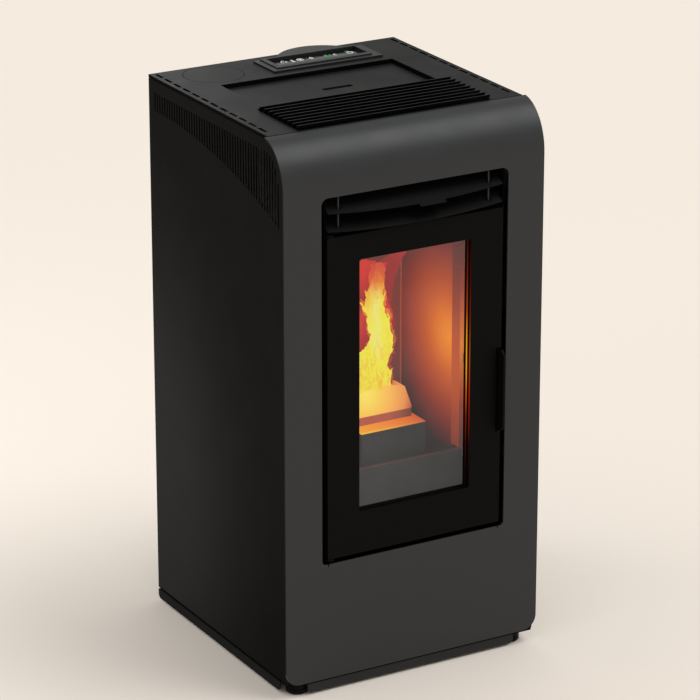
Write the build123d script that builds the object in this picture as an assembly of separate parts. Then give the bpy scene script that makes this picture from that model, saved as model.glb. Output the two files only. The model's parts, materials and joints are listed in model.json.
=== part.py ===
from build123d import *
import math
import os

# Compact pellet stove. Millimetres, +Z up, front towards -Y. The origin is on the
# floor, under the middle of the whole object. Depths are counted from the front
# panel's face towards the back.

# ---- Casing -------------------------------------------------------------------
CASING_WIDTH = 466.0        # over the two side panels
CASING_DEPTH = 467.0        # front panel face to the side panels' rear edge
PLATE_TOP = 940.0           # floor to the top plate's upper face
PANEL_BOTTOM = 24.0         # floor to the panels' lower edge
FRONT_SHEET = 3.0
SIDE_SHEET = 1.5
BACK_SHEET = 1.5
TOP_SHEET = 2.0
THIN_SHEET = 1.5            # brackets, ducts, fan housings and inner tubs
SEAM = 0.3                  # gap between sheets that only meet
FRONT_OVERHANG = 6.0        # front panel past the casing's sides
FRONT_CORNER = 25.0         # lower corners of the front panel
ROLL_DEPTH = 67.5           # front panel's rolled top: half axes of its ellipse
ROLL_HEIGHT = 82.0
TOP_JOINT = 59.5            # depth at which the rolled sheet meets the top plate
SIDE_FLANGE = 16.0          # side panels' fold around the back panel

# ---- Front opening --------------------------------------------------------------
OPENING_WIDTH = 343.4
OPENING_BOTTOM = 225.5
OPENING_TOP = 844.4
OPENING_TOP_RADIUS = 12.0
OPENING_BOTTOM_RADIUS = 8.0
NOTCH_SPACING = 320.0       # bend reliefs under the opening
NOTCH_WIDTH = 2.0
NOTCH_HEIGHT = 4.0

# ---- Side ventilation slots --------------------------------------------------------
SLOT_COUNT = 49
SLOT_PITCH = 8.7
SLOT_WIDTH = 3.8
SLOT_FIRST = 27.5           # depth of the slot nearest the front
SLOT_TOP_BAND = 20.3        # plain band over the slots
SLOT_ROLL_BAND = 26.3       # plain band between the slots and the rolled front
SLOT_REAR_LENGTH = 30.5     # length of the rearmost slot
SLOT_SWEEP_RADIUS = 1084.0  # arc that the slots' lower ends follow

# ---- Top plate ---------------------------------------------------------------------
TOP_RIM = 5.0               # folded edge
TOP_GAP = 1.0               # shadow gap over the side panels
DASH_COUNT = 12
DASH_LENGTH = 24.0
DASH_WIDTH = 5.5
DASH_PITCH = 32.0
DASH_FIRST = 83.0
DASH_INSET = 10.0           # from the casing's side
BLANK_RADIUS = 50.0         # blanking disc of the upper flue exit
BLANK_X = -141.0
BLANK_SETBACK = 54.0        # disc's centre from the casing's rear edge
BLANK_GAP = 0.9             # round the disc
LID_WELL_WIDTH = 323.0
LID_WELL_FRONT = 206.5
LID_WELL_REAR = 350.5
LID_WELL_WALL = 12.0        # height of the folded collar round the lid

# ---- Hopper lid --------------------------------------------------------------------
LID_GAP = 1.8
LID_SINK = 7.0              # lid's face below the top plate's face
LID_RIM = 8.0
LID_PIN_RADIUS = 2.0
LID_PIN_INSET = 5.0         # pin centre from the well's rear wall
LID_PIN_DROP = 2.8          # pin centre below the lid's face
GRIP_X = 9.0                # finger slot
GRIP_DEPTH = 266.0
GRIP_LENGTH = 54.0
GRIP_WIDTH = 10.5
GRIP_POCKET = 12.0

# ---- Top grille --------------------------------------------------------------------
GRILLE_WIDTH = 354.0
GRILLE_REAR = 199.5
GRILLE_FRONT = 63.5
GRILLE_RISE = 7.0           # slats stand this far over the top plate
SLAT_COUNT = 9
SLAT_PITCH = 15.1
SLAT_SHEET = 2.2
SLAT_LEAN = 32.0            # degrees from upright, top towards the front
SLAT_REACH = 17.0

# ---- Control panel -----------------------------------------------------------------
PANEL_X = (-51.0, 155.0)
PANEL_LONG = 73.0           # panel's size from front to back
PANEL_SETBACK = 24.5        # panel's rear edge from the casing's rear edge
PANEL_RISE = 3.0
RAISED_X = (-40.0, 140.0)
RAISED_MARGINS = (10.0, 2.0)
RAISED_RISE = 2.2
SCREEN_X = (-31.0, 137.0)
SCREEN_MARGINS = (20.5, 7.5)
SCREEN_SINK = 5.0           # screen below the raised frame
SCREEN_SHEET = 2.0
HOUSING_DROP = 22.0         # closed housing under the screen
HOUSING_INSET = 5.0
LOBE_X = 60.0               # rounded lobe behind the casing's rear edge
LOBE_RADIUS = 78.0
LOBE_REACH = 14.0
LOBE_THICK = 6.0

# ---- Base, plinth and feet ----------------------------------------------------------
BASE_BOTTOM = 20.5
BASE_SHEET = 3.0
BASE_FLANGE = 28.0
PLINTH_BOTTOM = 4.2
PLINTH_SHEET = 2.0
PLINTH_FLANGE = 14.0
PLINTH_SIDE_START = 33.5
PLINTH_CORNER = 8.0
PLINTH_FRONT_WIDTH = 396.0
PLINTH_FRONT_SETBACK = 4.0
PLINTH_CHAMFER = 5.0
FOOT_RADIUS = 19.0
FOOT_HEIGHT = 17.0
FOOT_EDGE = 2.5
FOOT_GROOVE = 1.0
FOOT_INSET = 30.0           # foot centre from the casing's faces
STUD_RADIUS = 5.0
STUD_TOP = 58.0
NUT_RADIUS = 9.8
NUT_HEIGHT = 10.0
POST_SIDE = 20.0
POST_SHEET = 2.0
POST_FRONT = 76.0           # depth of the front posts
CHEEK_MARGIN = 30.0         # plate left round the cut-outs under the firebox
CHEEK_CORNER = 12.0
STAND_HALF = 24.0           # stand of the exhaust fan
STAND_INSET = 14.0
STAND_SHEET = 2.0
STAND_CRADLE = 8.0          # how far the stand reaches up round the fan

# ---- Back panel ----------------------------------------------------------------------
LOUVRE_ROWS = 6
LOUVRE_PITCH = 20.0
LOUVRE_WIDTH = 90.0
LOUVRE_HEIGHT = 6.0
LOUVRE_X = 75.0             # middle of the two columns
LOUVRE_FIRST = 474.0        # height of the lowest row
PIPE_GAP = 1.0              # round the pipes in the back panel

# ---- Firebox -----------------------------------------------------------------------
PLATE_SHEET = 3.0           # firebox steel
FACE_DEPTH = 38.0           # firebox face, against which the door seals
FACE_WIDTH = 304.0
FACE_BOTTOM = 240.0
FIREBOX_HALF = 114.0        # inside half width
FIREBOX_BACK = 263.5        # inside depth
FIREBOX_FLOOR = 261.0
FIREBOX_CEILING = 855.0
FIRE_WINDOW_TOP = 754.0
HEARTH_TOP = 352.0
LINER_SHEET = 4.0
LINER_START = 68.0
LINER_TOP = 790.0
FIREBACK_DEPTH = 229.5      # rear face of the fireback
ASH_SLOT_WIDTH = 196.0
ASH_SLOT_DEPTH = (48.0, 61.0)
SMOKE_HOLE_X = (-100.0, -42.0)
SMOKE_HOLE_Z = (268.0, 334.0)
TUBE_COUNT = 5
TUBE_PITCH = 44.0
TUBE_RADIUS = 15.0
TUBE_WALL = 1.5
TUBE_Z = 808.0

# ---- Burn pot and ash pan -------------------------------------------------------------
HOLDER_WIDTH = 121.0
HOLDER_DEPTH = (67.0, 172.0)
HOLDER_TOP = 408.7
POT_WIDTH = 108.0
POT_DEPTH = (98.0, 148.0)
POT_BAND = 14.0
POT_TOP_WIDTH = 90.0
POT_TOP_DEPTH = (107.5, 138.5)
POT_SHOULDER = 459.0        # arched rim: ends and crown
POT_CROWN = 465.5
POT_WALL = 4.0
CUP_WIDTH = 94.0
CUP_DEPTH = (104.0, 142.0)
CUP_BOTTOM = 370.0
CUP_CLEARANCE = 2.0
GRATE_SLOTS = 7
GRATE_SLOT_WIDTH = 3.0
GRATE_SLOT_LENGTH = 22.0
PAN_HALF = 104.0
PAN_FRONT = 46.0
PAN_REAR_GAP = 24.5         # pan to the fireback's rear face
PAN_TOP = 338.0
PAN_FACE_HALF = 112.8
PAN_FACE_TOP = 358.5
PAN_LIP = 5.0

# ---- Pellet feed ---------------------------------------------------------------------
HOPPER_HALF = 160.0
HOPPER_TOP = 923.0
HOPPER_WALL = 1.5
HOPPER_BREAK = 810.0        # height at which the sides start to slope
HOPPER_FRONT = 294.0        # upright front wall behind the air plenum
HOPPER_REAR = 410.0
NECK_HALF = 22.0
NECK_DEPTH = (365.0, 405.0)
NECK_Z = 672.0
AUGER_LOW = (395.0, 597.0)  # depth and height of the auger's lower end
AUGER_HIGH = (312.0, 680.0)
AUGER_BORE = 25.0
AUGER_WALL = 2.0
AUGER_CAP = 3.0
FLIGHT_RADIUS = 22.5
FLIGHT_SHEET = 2.5
FLIGHT_PITCH = 34.0
CORE_RADIUS = 7.0
DRIVE_RADIUS = 5.0
GEARBOX_SIZE = 56.0
GEARBOX_LENGTH = 24.0
GEARMOTOR_RADIUS = 22.0
GEARMOTOR_LENGTH = 30.0
CHUTE_WIDTH = 44.0
CHUTE_HEIGHT = 26.0
CHUTE_SLOPE = 42.0
CHUTE_TIP = 151.0
CHUTE_OFFSET = 25.0         # chute centre from the auger's upper end

# ---- Room air ------------------------------------------------------------------------
PLENUM_HALF = 115.0
PLENUM_BACK = 290.0
PLENUM_BOTTOM = 412.0
PLENUM_TOP = 834.0
PASSAGE_Z = (582.0, 652.0)  # opening through the plenum for the chute
PASSAGE_HALF = 26.0
FAN_AXIS = (335.0, 457.0)   # cross-flow fan: depth and height of its shaft
FAN_HALF = 100.0
FAN_SCROLL = 41.0
FAN_MOUTH = 40.0            # height of the mouth into the plenum
ROTOR_RADIUS = 30.0
ROTOR_HALF = 92.0
ROTOR_BLADES = 16
ROTOR_SHAFT = 4.0
FAN_MOTOR_RADIUS = 32.0
FAN_MOTOR_LENGTH = 38.0

# ---- Smoke side ----------------------------------------------------------------------
DUCT_X = (-108.0, -34.0)
DUCT_REAR = 392.0
DUCT_Z = (118.0, 340.0)
EXHAUST_WIDTH = 64.0
EXHAUST_AXIS = (344.0, 165.0)
EXHAUST_RADIUS = 75.0
EXHAUST_INLET = 38.0
EXHAUST_MOUTH = 70.0
EXHAUST_END = 425.0
IMPELLER_RADIUS = 62.0
IMPELLER_WIDTH = 34.0
IMPELLER_VANES = 8
EXHAUST_MOTOR_RADIUS = 36.0
EXHAUST_MOTOR_LENGTH = 46.0
FLUE_RADIUS = 40.0
FLUE_Z = 205.0
FLUE_PROUD = 40.0           # sleeve behind the casing
FLANGE_HALF = 46.0          # square flange between the exhaust fan and the flue
INTAKE_RADIUS = 25.0
INTAKE_Z = 380.0
INTAKE_PROUD = 25.0
PIPE_WALL = 1.5
IGNITER_RADIUS = 6.0
IGNITER_X = 38.0

# ---- Door ----------------------------------------------------------------------------
DOOR_X = 1.4                # door's middle, to the right of the casing's
DOOR_WIDTH = 324.0
DOOR_BOTTOM = 233.0
DOOR_TOP = 777.7
DOOR_FACE = 1.5             # door's face behind the front panel's face
DOOR_THICK = 26.5
DOOR_CORNER = 2.5
DOOR_SKIN = 4.0             # walls of the boxed door's front and rear
DOOR_WALL = 3.0             # its other walls
DRAIN_RADIUS = 2.5
DRAIN_SPACING = 120.0
WINDOW_HALF = 103.6
WINDOW_BOTTOM = 305.0
WINDOW_TOP = 734.0
WINDOW_CORNER = 3.0
GROOVE_DEEP = 3.5           # two grooves round the window's reveal
GROOVE_A = (7.2, 12.4)
GROOVE_B = (17.6, 28.0)
TAPE = 1.0
GLASS_SHEET = 4.0
GLASS_MARGIN = 13.0
CLIP_HEIGHT = 16.0
CLIP_OVER = 7.0             # clip's reach over the glass
CLIP_OUT = 2.0              # clip's reach past the glass's edge
CLIP_SHARES = (0.12, 0.5, 0.88)     # clips' places up the window
SEAL_BORE = 119.5           # inner half width of the door's rope seal
SEAL_SIZE = 10.0
SEAL_CORNER = 16.0
SEAL_Z = (246.0, 770.0)
HINGE_X = -154.0
HINGE_DEPTH = 9.0
HINGE_PIN = 3.0
HINGE_PIN_SINK = 10.0       # pin inside the door
BRACKET_SHEET = 3.0
BRACKET_GAP = 1.0
BRACKET_HALF = 8.0
BRACKET_TONGUE = 18.0       # upright part on the firebox's face

# ---- Door handle ---------------------------------------------------------------------
HANDLE_X = 158.5            # upright shaft
HANDLE_DEPTH = 10.0
HANDLE_PROUD = 14.5         # grip in front of the front panel's face
GRIP_FIN = 4.0              # thickness of the grip
FIN_OFFSET = 2.0            # grip's middle from the shaft's
GRIP_Z = (397.0, 537.0)
GRIP_BEVEL = 8.0
HANDLE_SHAFT = 3.0
SHAFT_OVER = 8.0            # shaft past the grip at each end
POCKET_GAP = 4.5            # beside the grip, for its turn
HOOK_Z = (463.0, 477.0)
HOOK_REACH = 10.0
HOOK_DEPTH = (33.8, 36.2)
KEEPER_DEPTH = 31.0
KEEPER_X = 150.0
KEEPER_PIN = 2.5
KEEPER_SHEET = 3.0
KEEPER_GAP = 4.0            # ears above and below the hook

# ---- Warm air outlet -------------------------------------------------------------------
OUTLET_HALF = 165.0         # outlet frame, outside
OUTLET_BOTTOM = 782.5
OUTLET_TOP = 857.0
BLADE_HALF = 160.8
BLADE_CHORD = 40.0
BLADE_SAG = 10.0            # bow of the blade's front edge
BLADE_SHEET = 1.5
BLADE_TILT = 38.0
BLADE_AXIS_DEPTH = 15.8
BLADE_UPPER_Z = 830.3
BLADE_SPACING = 30.0
BLADE_PIN = 2.0
TAB_X = (1.0, 49.0)
TAB_REACH = 5.0
LINK_X = 138.0
LINK_SIDE = 2.2
LINK_OFFSET = 11.0          # link pivot from the blade's axis, along the blade
LINK_TOP = 845.0
LINK_BOTTOM = 788.0
LINK_PIN = 1.0
LINK_SLOT = (8.0, 4.5)
LUG_SIZE = 5.0
LUG_GAP = 1.9               # lug from the link's centre

# ---- Electrical ----------------------------------------------------------------------
BOARD_X = 188.0
BOARD_DEPTH = (330.0, 450.0)
BOARD_Z = (300.0, 470.0)
BOARD_SHEET = 1.6
# Reach from the board, then the spans along and up it from its front lower corner.
TRANSFORMER = (26.0, (10.0, 46.0), (120.0, 160.0))
HEAT_SINK = (16.0, (60.0, 112.0), (130.0, 156.0))
TERMINALS = (11.0, (8.0, 112.0), (6.0, 18.0))
RELAY = (14.0, (12.0, 30.0), (50.0, 66.0))
RELAY_COUNT = 4
RELAY_PITCH = 26.0
BRACKET_MARGIN = 12.0
INLET_X = 165.0
INLET_Z = 110.0
INLET_SIZE = (58.0, 30.0)
INLET_PROUD = 2.0
INLET_BODY = 26.0
INLET_LIP = 3.0             # lip that covers the cut-out in the back panel
SOCKET_DEEP = 18.0
SOCKET_HALF = 8.0
SOCKET_SIDES = (6.0, 4.0)   # from the inlet's left edge, and past its middle
CONTACT_PITCH = 7.0
CONTACT_WIDTH = 2.0
CONTACT_HEIGHT = 6.0
CONTACT_SINK = 4.0
SWITCH_WELL = 12.0
SWITCH_PLAY = 1.2
SWITCH_STUB = 1.5           # pivot stubs in the inlet's walls
SWITCH_X = 181.0
SWITCH_SIZE = (11.0, 20.0)
SWITCH_AXIS = 3.0
SWITCH_ANGLE = 7.0

# ---- Fasteners and running fits --------------------------------------------------------
SCREW_RADIUS = 2.0
SCREW_HEAD = 4.5            # over the hexagon's corners, as a radius
SCREW_HEAD_HEIGHT = 2.2
SCREW_LENGTH = 4.0
SCREW_COUNT = 4
SCREW_MARGIN = 36.0         # outermost screws from the panels' ends
RUNNING = 0.08              # radial clearance of a pin in its hole
REST = 0.3                  # gap between a moving piece and its seat

# ---- Places that follow from the sizes above ---------------------------------------------
TOTAL_DEPTH = HANDLE_PROUD + CASING_DEPTH + FLUE_PROUD
FRONT_Y = HANDLE_PROUD - TOTAL_DEPTH / 2
SIDE_X = CASING_WIDTH / 2
FRONT_HALF = SIDE_X + FRONT_OVERHANG
INNER_X = SIDE_X - SIDE_SHEET
BACK_INNER = CASING_DEPTH - SIDE_SHEET - BACK_SHEET
BLANK_DEPTH = CASING_DEPTH - BLANK_SETBACK
PANEL_REAR = CASING_DEPTH - PANEL_SETBACK
PANEL_DEPTH = (PANEL_REAR - PANEL_LONG, PANEL_REAR)
RAISED_DEPTH = (PANEL_DEPTH[0] + RAISED_MARGINS[0], PANEL_REAR - RAISED_MARGINS[1])
SCREEN_DEPTH = (PANEL_DEPTH[0] + SCREEN_MARGINS[0], PANEL_REAR - SCREEN_MARGINS[1])
PAN_DEPTH = (PAN_FRONT, FIREBACK_DEPTH - PAN_REAR_GAP)
INTAKE_TAIL = INTAKE_RADIUS - PIPE_WALL
FLUE_TAIL = FLUE_RADIUS - PIPE_WALL
BASE_TOP = BASE_BOTTOM + BASE_SHEET
ROLL_START = PLATE_TOP - ROLL_HEIGHT
SIDE_TOP = PLATE_TOP - TOP_RIM - TOP_GAP
PLATE_BOTTOM = PLATE_TOP - TOP_SHEET
LID_FACE = PLATE_TOP - LID_SINK
LID_AXIS_DEPTH = LID_WELL_REAR - LID_PIN_INSET
LID_AXIS_Z = LID_FACE - LID_PIN_DROP
FIREBOX_OUTER = FIREBOX_HALF + PLATE_SHEET
FIREBOX_REAR = FIREBOX_BACK + PLATE_SHEET
FIREBOX_TOP = FIREBOX_CEILING + PLATE_SHEET
FIREBOX_BASE = FIREBOX_FLOOR - PLATE_SHEET
DOOR_REAR = DOOR_FACE + DOOR_THICK
DOOR_SPAN = (DOOR_X - DOOR_WIDTH / 2, DOOR_X + DOOR_WIDTH / 2)
FIN_X = (HANDLE_X + FIN_OFFSET - GRIP_FIN / 2, HANDLE_X + FIN_OFFSET + GRIP_FIN / 2)
POCKET_LEFT = FIN_X[0] - POCKET_GAP
EXHAUST_X = (DUCT_X[0] - EXHAUST_WIDTH, DUCT_X[0])
FLUE_X = (EXHAUST_X[0] + EXHAUST_X[1]) / 2
INLET_FACE = CASING_DEPTH - SIDE_SHEET
FOOT_DEPTHS = (FOOT_INSET, CASING_DEPTH - FOOT_INSET)
FOOT_X = SIDE_X - FOOT_INSET
AUGER_RUN = math.dist(AUGER_LOW, AUGER_HIGH)
AUGER_UNIT = [(high - low) / AUGER_RUN for low, high in zip(AUGER_LOW, AUGER_HIGH)]
CORNER = (Align.MIN, Align.MIN, Align.MIN)
FOOTED = (Align.CENTER, Align.CENTER, Align.MIN)


def back(depth):
    """Y of a point that lies this far behind the front panel's face."""
    return FRONT_Y + depth


def block(x, depth, z):
    """A box between low and high x, depth and z."""
    size = (x[1] - x[0], depth[1] - depth[0], z[1] - z[0])
    return Pos(x[0], back(depth[0]), z[0]) * Box(*size, align=CORNER)


def rod(x, depth, z, direction, length, radius):
    """A round bar from a point, along a direction."""
    start = Plane(origin=(x, back(depth), z), z_dir=direction)
    return start * Cylinder(radius, length, align=FOOTED)


def cross_rod(x, depth, z, radius):
    """A round bar along X between low and high x."""
    return rod(x[0], depth, z, (1, 0, 0), x[1] - x[0], radius)


def tube(x, depth, z, direction, length, radius, wall):
    """A pipe from a point, along a direction."""
    bore = rod(x, depth, z, direction, length, radius - wall)
    return rod(x, depth, z, direction, length, radius) - bore


def area(a, b):
    """A rectangle between two low and high pairs."""
    middle = Pos((a[0] + a[1]) / 2, (b[0] + b[1]) / 2)
    return middle * Rectangle(a[1] - a[0], b[1] - b[0])


def soft_area(a, b, radius):
    """A rectangle with rounded corners."""
    middle = Pos((a[0] + a[1]) / 2, (b[0] + b[1]) / 2)
    return middle * RectangleRounded(a[1] - a[0], b[1] - b[0], radius)


def seen_from_front(sketch, depth):
    """A drawing in x and z, thick between two depths."""
    plane = Plane(origin=(0, back(depth[1]), 0), x_dir=(1, 0, 0), z_dir=(0, -1, 0))
    return extrude(plane * sketch, depth[1] - depth[0], dir=plane.z_dir)


def seen_from_side(sketch, x):
    """A drawing in depth and z, thick between two x."""
    plane = Plane(origin=(x[0], FRONT_Y, 0), x_dir=(0, 1, 0), z_dir=(1, 0, 0))
    return extrude(plane * sketch, x[1] - x[0], dir=plane.z_dir)


def seen_from_above(sketch, z):
    """A drawing in x and depth, thick between two heights."""
    plane = Plane(origin=(0, FRONT_Y, z[0]), x_dir=(1, 0, 0), z_dir=(0, 0, 1))
    return extrude(plane * sketch, z[1] - z[0], dir=plane.z_dir)


def both(half):
    """The low and high values of a centred span."""
    return (-half, half)


def in_door(half):
    """The low and high values of a span centred in the door."""
    return (DOOR_X - half, DOOR_X + half)


def grow(span, amount):
    """A low and high pair, widened at both ends."""
    return (span[0] - amount, span[1] + amount)


def tub(x, depth, z, wall, lid=0.0):
    """A box of sheet, open on top, or closed with a lid of the given thickness."""
    inner = block(grow(x, -wall), grow(depth, -wall), (z[0] + wall, z[1] - lid))
    return block(x, depth, z) - inner


def roll_area(inset, rear, bottom, top):
    """Side view of a sheet's outer face that follows the rolled front."""
    roll = Ellipse(ROLL_DEPTH - inset, ROLL_HEIGHT - inset)
    body = area((inset, rear), (bottom, ROLL_START))
    crown = area((ROLL_DEPTH, rear), (ROLL_START - 1, top))
    whole = body + crown + Pos(ROLL_DEPTH, ROLL_START) * roll
    return whole & area((inset, rear), (bottom, top))


# ---- Casing ------------------------------------------------------------------------
def front_panel():
    """Flat front whose top rolls back to the top plate, with the door's opening."""
    rear = 2 * ROLL_DEPTH
    sheet = roll_area(0, rear, PANEL_BOTTOM, PLATE_TOP)
    sheet -= roll_area(FRONT_SHEET, rear, 0, PLATE_TOP - FRONT_SHEET)
    sheet = sheet & area((0, TOP_JOINT), (0, PLATE_TOP))
    panel = seen_from_side(sheet, both(FRONT_HALF))
    outline = soft_area(both(FRONT_HALF), (PANEL_BOTTOM, ROLL_START), FRONT_CORNER)
    outline += area(both(FRONT_HALF), (PANEL_BOTTOM + FRONT_CORNER, PLATE_TOP))
    panel = panel & seen_from_front(outline, (0, TOP_JOINT))
    return panel - front_opening()


def front_opening():
    """Cutter for the front panel's opening and its two bend reliefs."""
    x = both(OPENING_WIDTH / 2)
    low = (OPENING_BOTTOM, OPENING_TOP - OPENING_TOP_RADIUS)
    high = (OPENING_BOTTOM + OPENING_BOTTOM_RADIUS, OPENING_TOP)
    hole = soft_area(x, low, OPENING_BOTTOM_RADIUS) + soft_area(x, high, OPENING_TOP_RADIUS)
    notch = Rectangle(NOTCH_WIDTH, 2 * NOTCH_HEIGHT)
    for side in (-1, 1):
        hole += Pos(side * NOTCH_SPACING / 2, OPENING_BOTTOM) * notch
    return seen_from_front(hole, (-1, FRONT_SHEET + 1))


def slot_ends(depth):
    """Lower and upper end of the side slot at a depth."""
    top = SIDE_TOP - SLOT_TOP_BAND
    if depth < ROLL_DEPTH:
        along = (ROLL_DEPTH - depth) / (ROLL_DEPTH - SLOT_ROLL_BAND)
        rise = top - ROLL_START
        top = ROLL_START + rise * math.sqrt(max(0.0, 1 - along ** 2))
    last = SLOT_FIRST + (SLOT_COUNT - 1) * SLOT_PITCH
    sag = SLOT_SWEEP_RADIUS - math.sqrt(SLOT_SWEEP_RADIUS ** 2 - (last - depth) ** 2)
    bottom = SIDE_TOP - SLOT_TOP_BAND - SLOT_REAR_LENGTH - sag
    return bottom, top


def side_panel(side):
    """Side sheet with slots that fan out under the rolled front."""
    outer = roll_area(FRONT_SHEET + SEAM, CASING_DEPTH, PANEL_BOTTOM, SIDE_TOP)
    slots = Sketch()
    for index in range(SLOT_COUNT):
        depth = SLOT_FIRST + index * SLOT_PITCH
        slots += area((depth - SLOT_WIDTH / 2, depth + SLOT_WIDTH / 2), slot_ends(depth))
    x = sorted((side * SIDE_X, side * INNER_X))
    panel = seen_from_side(outer - slots, x)
    flange_x = sorted((side * SIDE_X, side * (SIDE_X - SIDE_FLANGE)))
    flange = block(flange_x, (INLET_FACE, CASING_DEPTH), (PANEL_BOTTOM, SIDE_TOP))
    return panel + flange - screw_holes()


def back_panel():
    """Rear sheet with the pipe holes, the inlet's cut-out and louvre slots."""
    x = both(INNER_X)
    sheet = area(x, (PANEL_BOTTOM, SIDE_TOP))
    sheet -= Pos(FLUE_X, FLUE_Z) * Circle(FLUE_TAIL + PIPE_GAP)
    sheet -= Pos(0, INTAKE_Z) * Circle(INTAKE_TAIL + PIPE_GAP)
    sheet -= Pos(INLET_X, INLET_Z) * Rectangle(*[size - 2 * INLET_LIP for size in INLET_SIZE])
    for row in range(LOUVRE_ROWS):
        for column in (-LOUVRE_X, LOUVRE_X):
            z = LOUVRE_FIRST + row * LOUVRE_PITCH
            sheet -= Pos(column, z) * Rectangle(LOUVRE_WIDTH, LOUVRE_HEIGHT)
    return seen_from_front(sheet, (BACK_INNER, INLET_FACE)) - screw_holes()


def screw_places():
    """x and z of the screws that hold the side panels to the back panel."""
    span = SIDE_TOP - PANEL_BOTTOM - 2 * SCREW_MARGIN
    for side in (-1, 1):
        for index in range(SCREW_COUNT):
            z = PANEL_BOTTOM + SCREW_MARGIN + index * span / (SCREW_COUNT - 1)
            yield side * (SIDE_X - SIDE_FLANGE * 0.6), z


def screw_holes():
    """Cutters through the side panels' flanges and the back panel."""
    start = CASING_DEPTH - SCREW_LENGTH - 1
    return [
        rod(x, start, z, (0, 1, 0), SCREW_LENGTH + 2, SCREW_RADIUS + RUNNING)
        for x, z in screw_places()
    ]


def casing_screws():
    """Hexagon head screws along the rear flanges."""
    screws = []
    for x, z in screw_places():
        shank = rod(x, CASING_DEPTH - SCREW_LENGTH, z, (0, 1, 0), SCREW_LENGTH, SCREW_RADIUS)
        seat = Plane(origin=(x, back(CASING_DEPTH), z), z_dir=(0, 1, 0))
        head = seat * extrude(RegularPolygon(SCREW_HEAD, 6), SCREW_HEAD_HEIGHT)
        screws.append(shank + head)
    return Compound(screws)


def base_frame():
    """Welded floor tray with the feet's nuts, fan stand and firebox uprights."""
    x = both(INNER_X)
    depth = (FRONT_SHEET, BACK_INNER)
    tray = tub(x, depth, (BASE_BOTTOM, BASE_BOTTOM + BASE_FLANGE), THIN_SHEET)
    tray += block(x, depth, (BASE_BOTTOM, BASE_TOP))
    for foot_x in both(FOOT_X):
        for foot_depth in FOOT_DEPTHS:
            nut = Pos(foot_x, back(foot_depth), BASE_TOP) * extrude(RegularPolygon(NUT_RADIUS, 6), NUT_HEIGHT)
            bore = rod(foot_x, foot_depth, 0, (0, 0, 1), STUD_TOP, STUD_RADIUS + RUNNING)
            tray = tray + nut - bore
    cheek_depth = (FACE_DEPTH + PLATE_SHEET, FIREBOX_REAR)
    cheek_z = (BASE_TOP, FIREBOX_BASE)
    cheek = area(cheek_depth, cheek_z)
    cheek -= soft_area(grow(cheek_depth, -CHEEK_MARGIN), grow(cheek_z, -CHEEK_MARGIN), CHEEK_CORNER)
    for side in (-1, 1):
        cheek_x = sorted((side * FIREBOX_OUTER, side * (FIREBOX_OUTER - PLATE_SHEET)))
        tray += seen_from_side(cheek, cheek_x)
    low = EXHAUST_AXIS[1] - EXHAUST_RADIUS
    stand_x = grow(EXHAUST_X, -STAND_INSET)
    stand_depth = (EXHAUST_AXIS[0] - STAND_HALF, EXHAUST_AXIS[0] + STAND_HALF)
    hollow_z = (BASE_TOP + STAND_SHEET, low - STAND_SHEET)
    stand = block(stand_x, stand_depth, (BASE_TOP, low + STAND_CRADLE))
    stand -= block(grow(stand_x, -STAND_SHEET), grow(stand_depth, 1), hollow_z)
    return tray + (stand - cross_rod(EXHAUST_X, *EXHAUST_AXIS, EXHAUST_RADIUS))


def corner_posts():
    """Four angle posts between the floor tray and the top plate."""
    rear = BACK_INNER - THIN_SHEET
    z = (BASE_TOP, PLATE_BOTTOM)
    posts = []
    for side in (-1, 1):
        outer = side * (INNER_X - THIN_SHEET)
        for corner, way in ((POST_FRONT, 1), (rear, -1)):
            thin_x = sorted((outer, outer - side * POST_SHEET))
            wide_x = sorted((outer, outer - side * POST_SIDE))
            leg = block(thin_x, sorted((corner, corner + way * POST_SIDE)), z)
            posts.append(leg + block(wide_x, sorted((corner, corner + way * POST_SHEET)), z))
    return Compound(posts)


def plinth_sides():
    """Plinth strips under the side panels, with rounded lower corners."""
    depth = (PLINTH_SIDE_START, CASING_DEPTH)
    outline = soft_area(depth, (PLINTH_BOTTOM, BASE_BOTTOM), PLINTH_CORNER)
    outline += area(depth, (PLINTH_BOTTOM + PLINTH_CORNER, BASE_BOTTOM))
    z = (BASE_BOTTOM - PLINTH_SHEET, BASE_BOTTOM)
    flange_depth = (PLINTH_SIDE_START + 2 * FOOT_RADIUS, CASING_DEPTH - 3 * FOOT_RADIUS)
    strips = []
    for side in (-1, 1):
        x = sorted((side * SIDE_X, side * (SIDE_X - PLINTH_SHEET)))
        flange_x = sorted((side * SIDE_X, side * (SIDE_X - PLINTH_FLANGE)))
        strips.append(seen_from_side(outline, x) + block(flange_x, flange_depth, z))
    return Compound(strips)


def plinth_front():
    """Plinth strip under the front panel, with bevelled lower corners."""
    half = PLINTH_FRONT_WIDTH / 2 - FOOT_GROOVE
    low = PLINTH_BOTTOM
    points = [
        (-half, BASE_BOTTOM), (half, BASE_BOTTOM), (half, low + PLINTH_CHAMFER),
        (half - PLINTH_CHAMFER, low), (PLINTH_CHAMFER - half, low), (-half, low + PLINTH_CHAMFER),
    ]
    depth = (PLINTH_FRONT_SETBACK, PLINTH_FRONT_SETBACK + PLINTH_SHEET)
    strip = seen_from_front(Polygon(*points, align=None), depth)
    flange_half = FOOT_X - FOOT_RADIUS - 6
    flange_depth = (PLINTH_FRONT_SETBACK, PLINTH_FRONT_SETBACK + PLINTH_FLANGE)
    return strip + block(both(flange_half), flange_depth, (BASE_BOTTOM - PLINTH_SHEET, BASE_BOTTOM))


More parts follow.
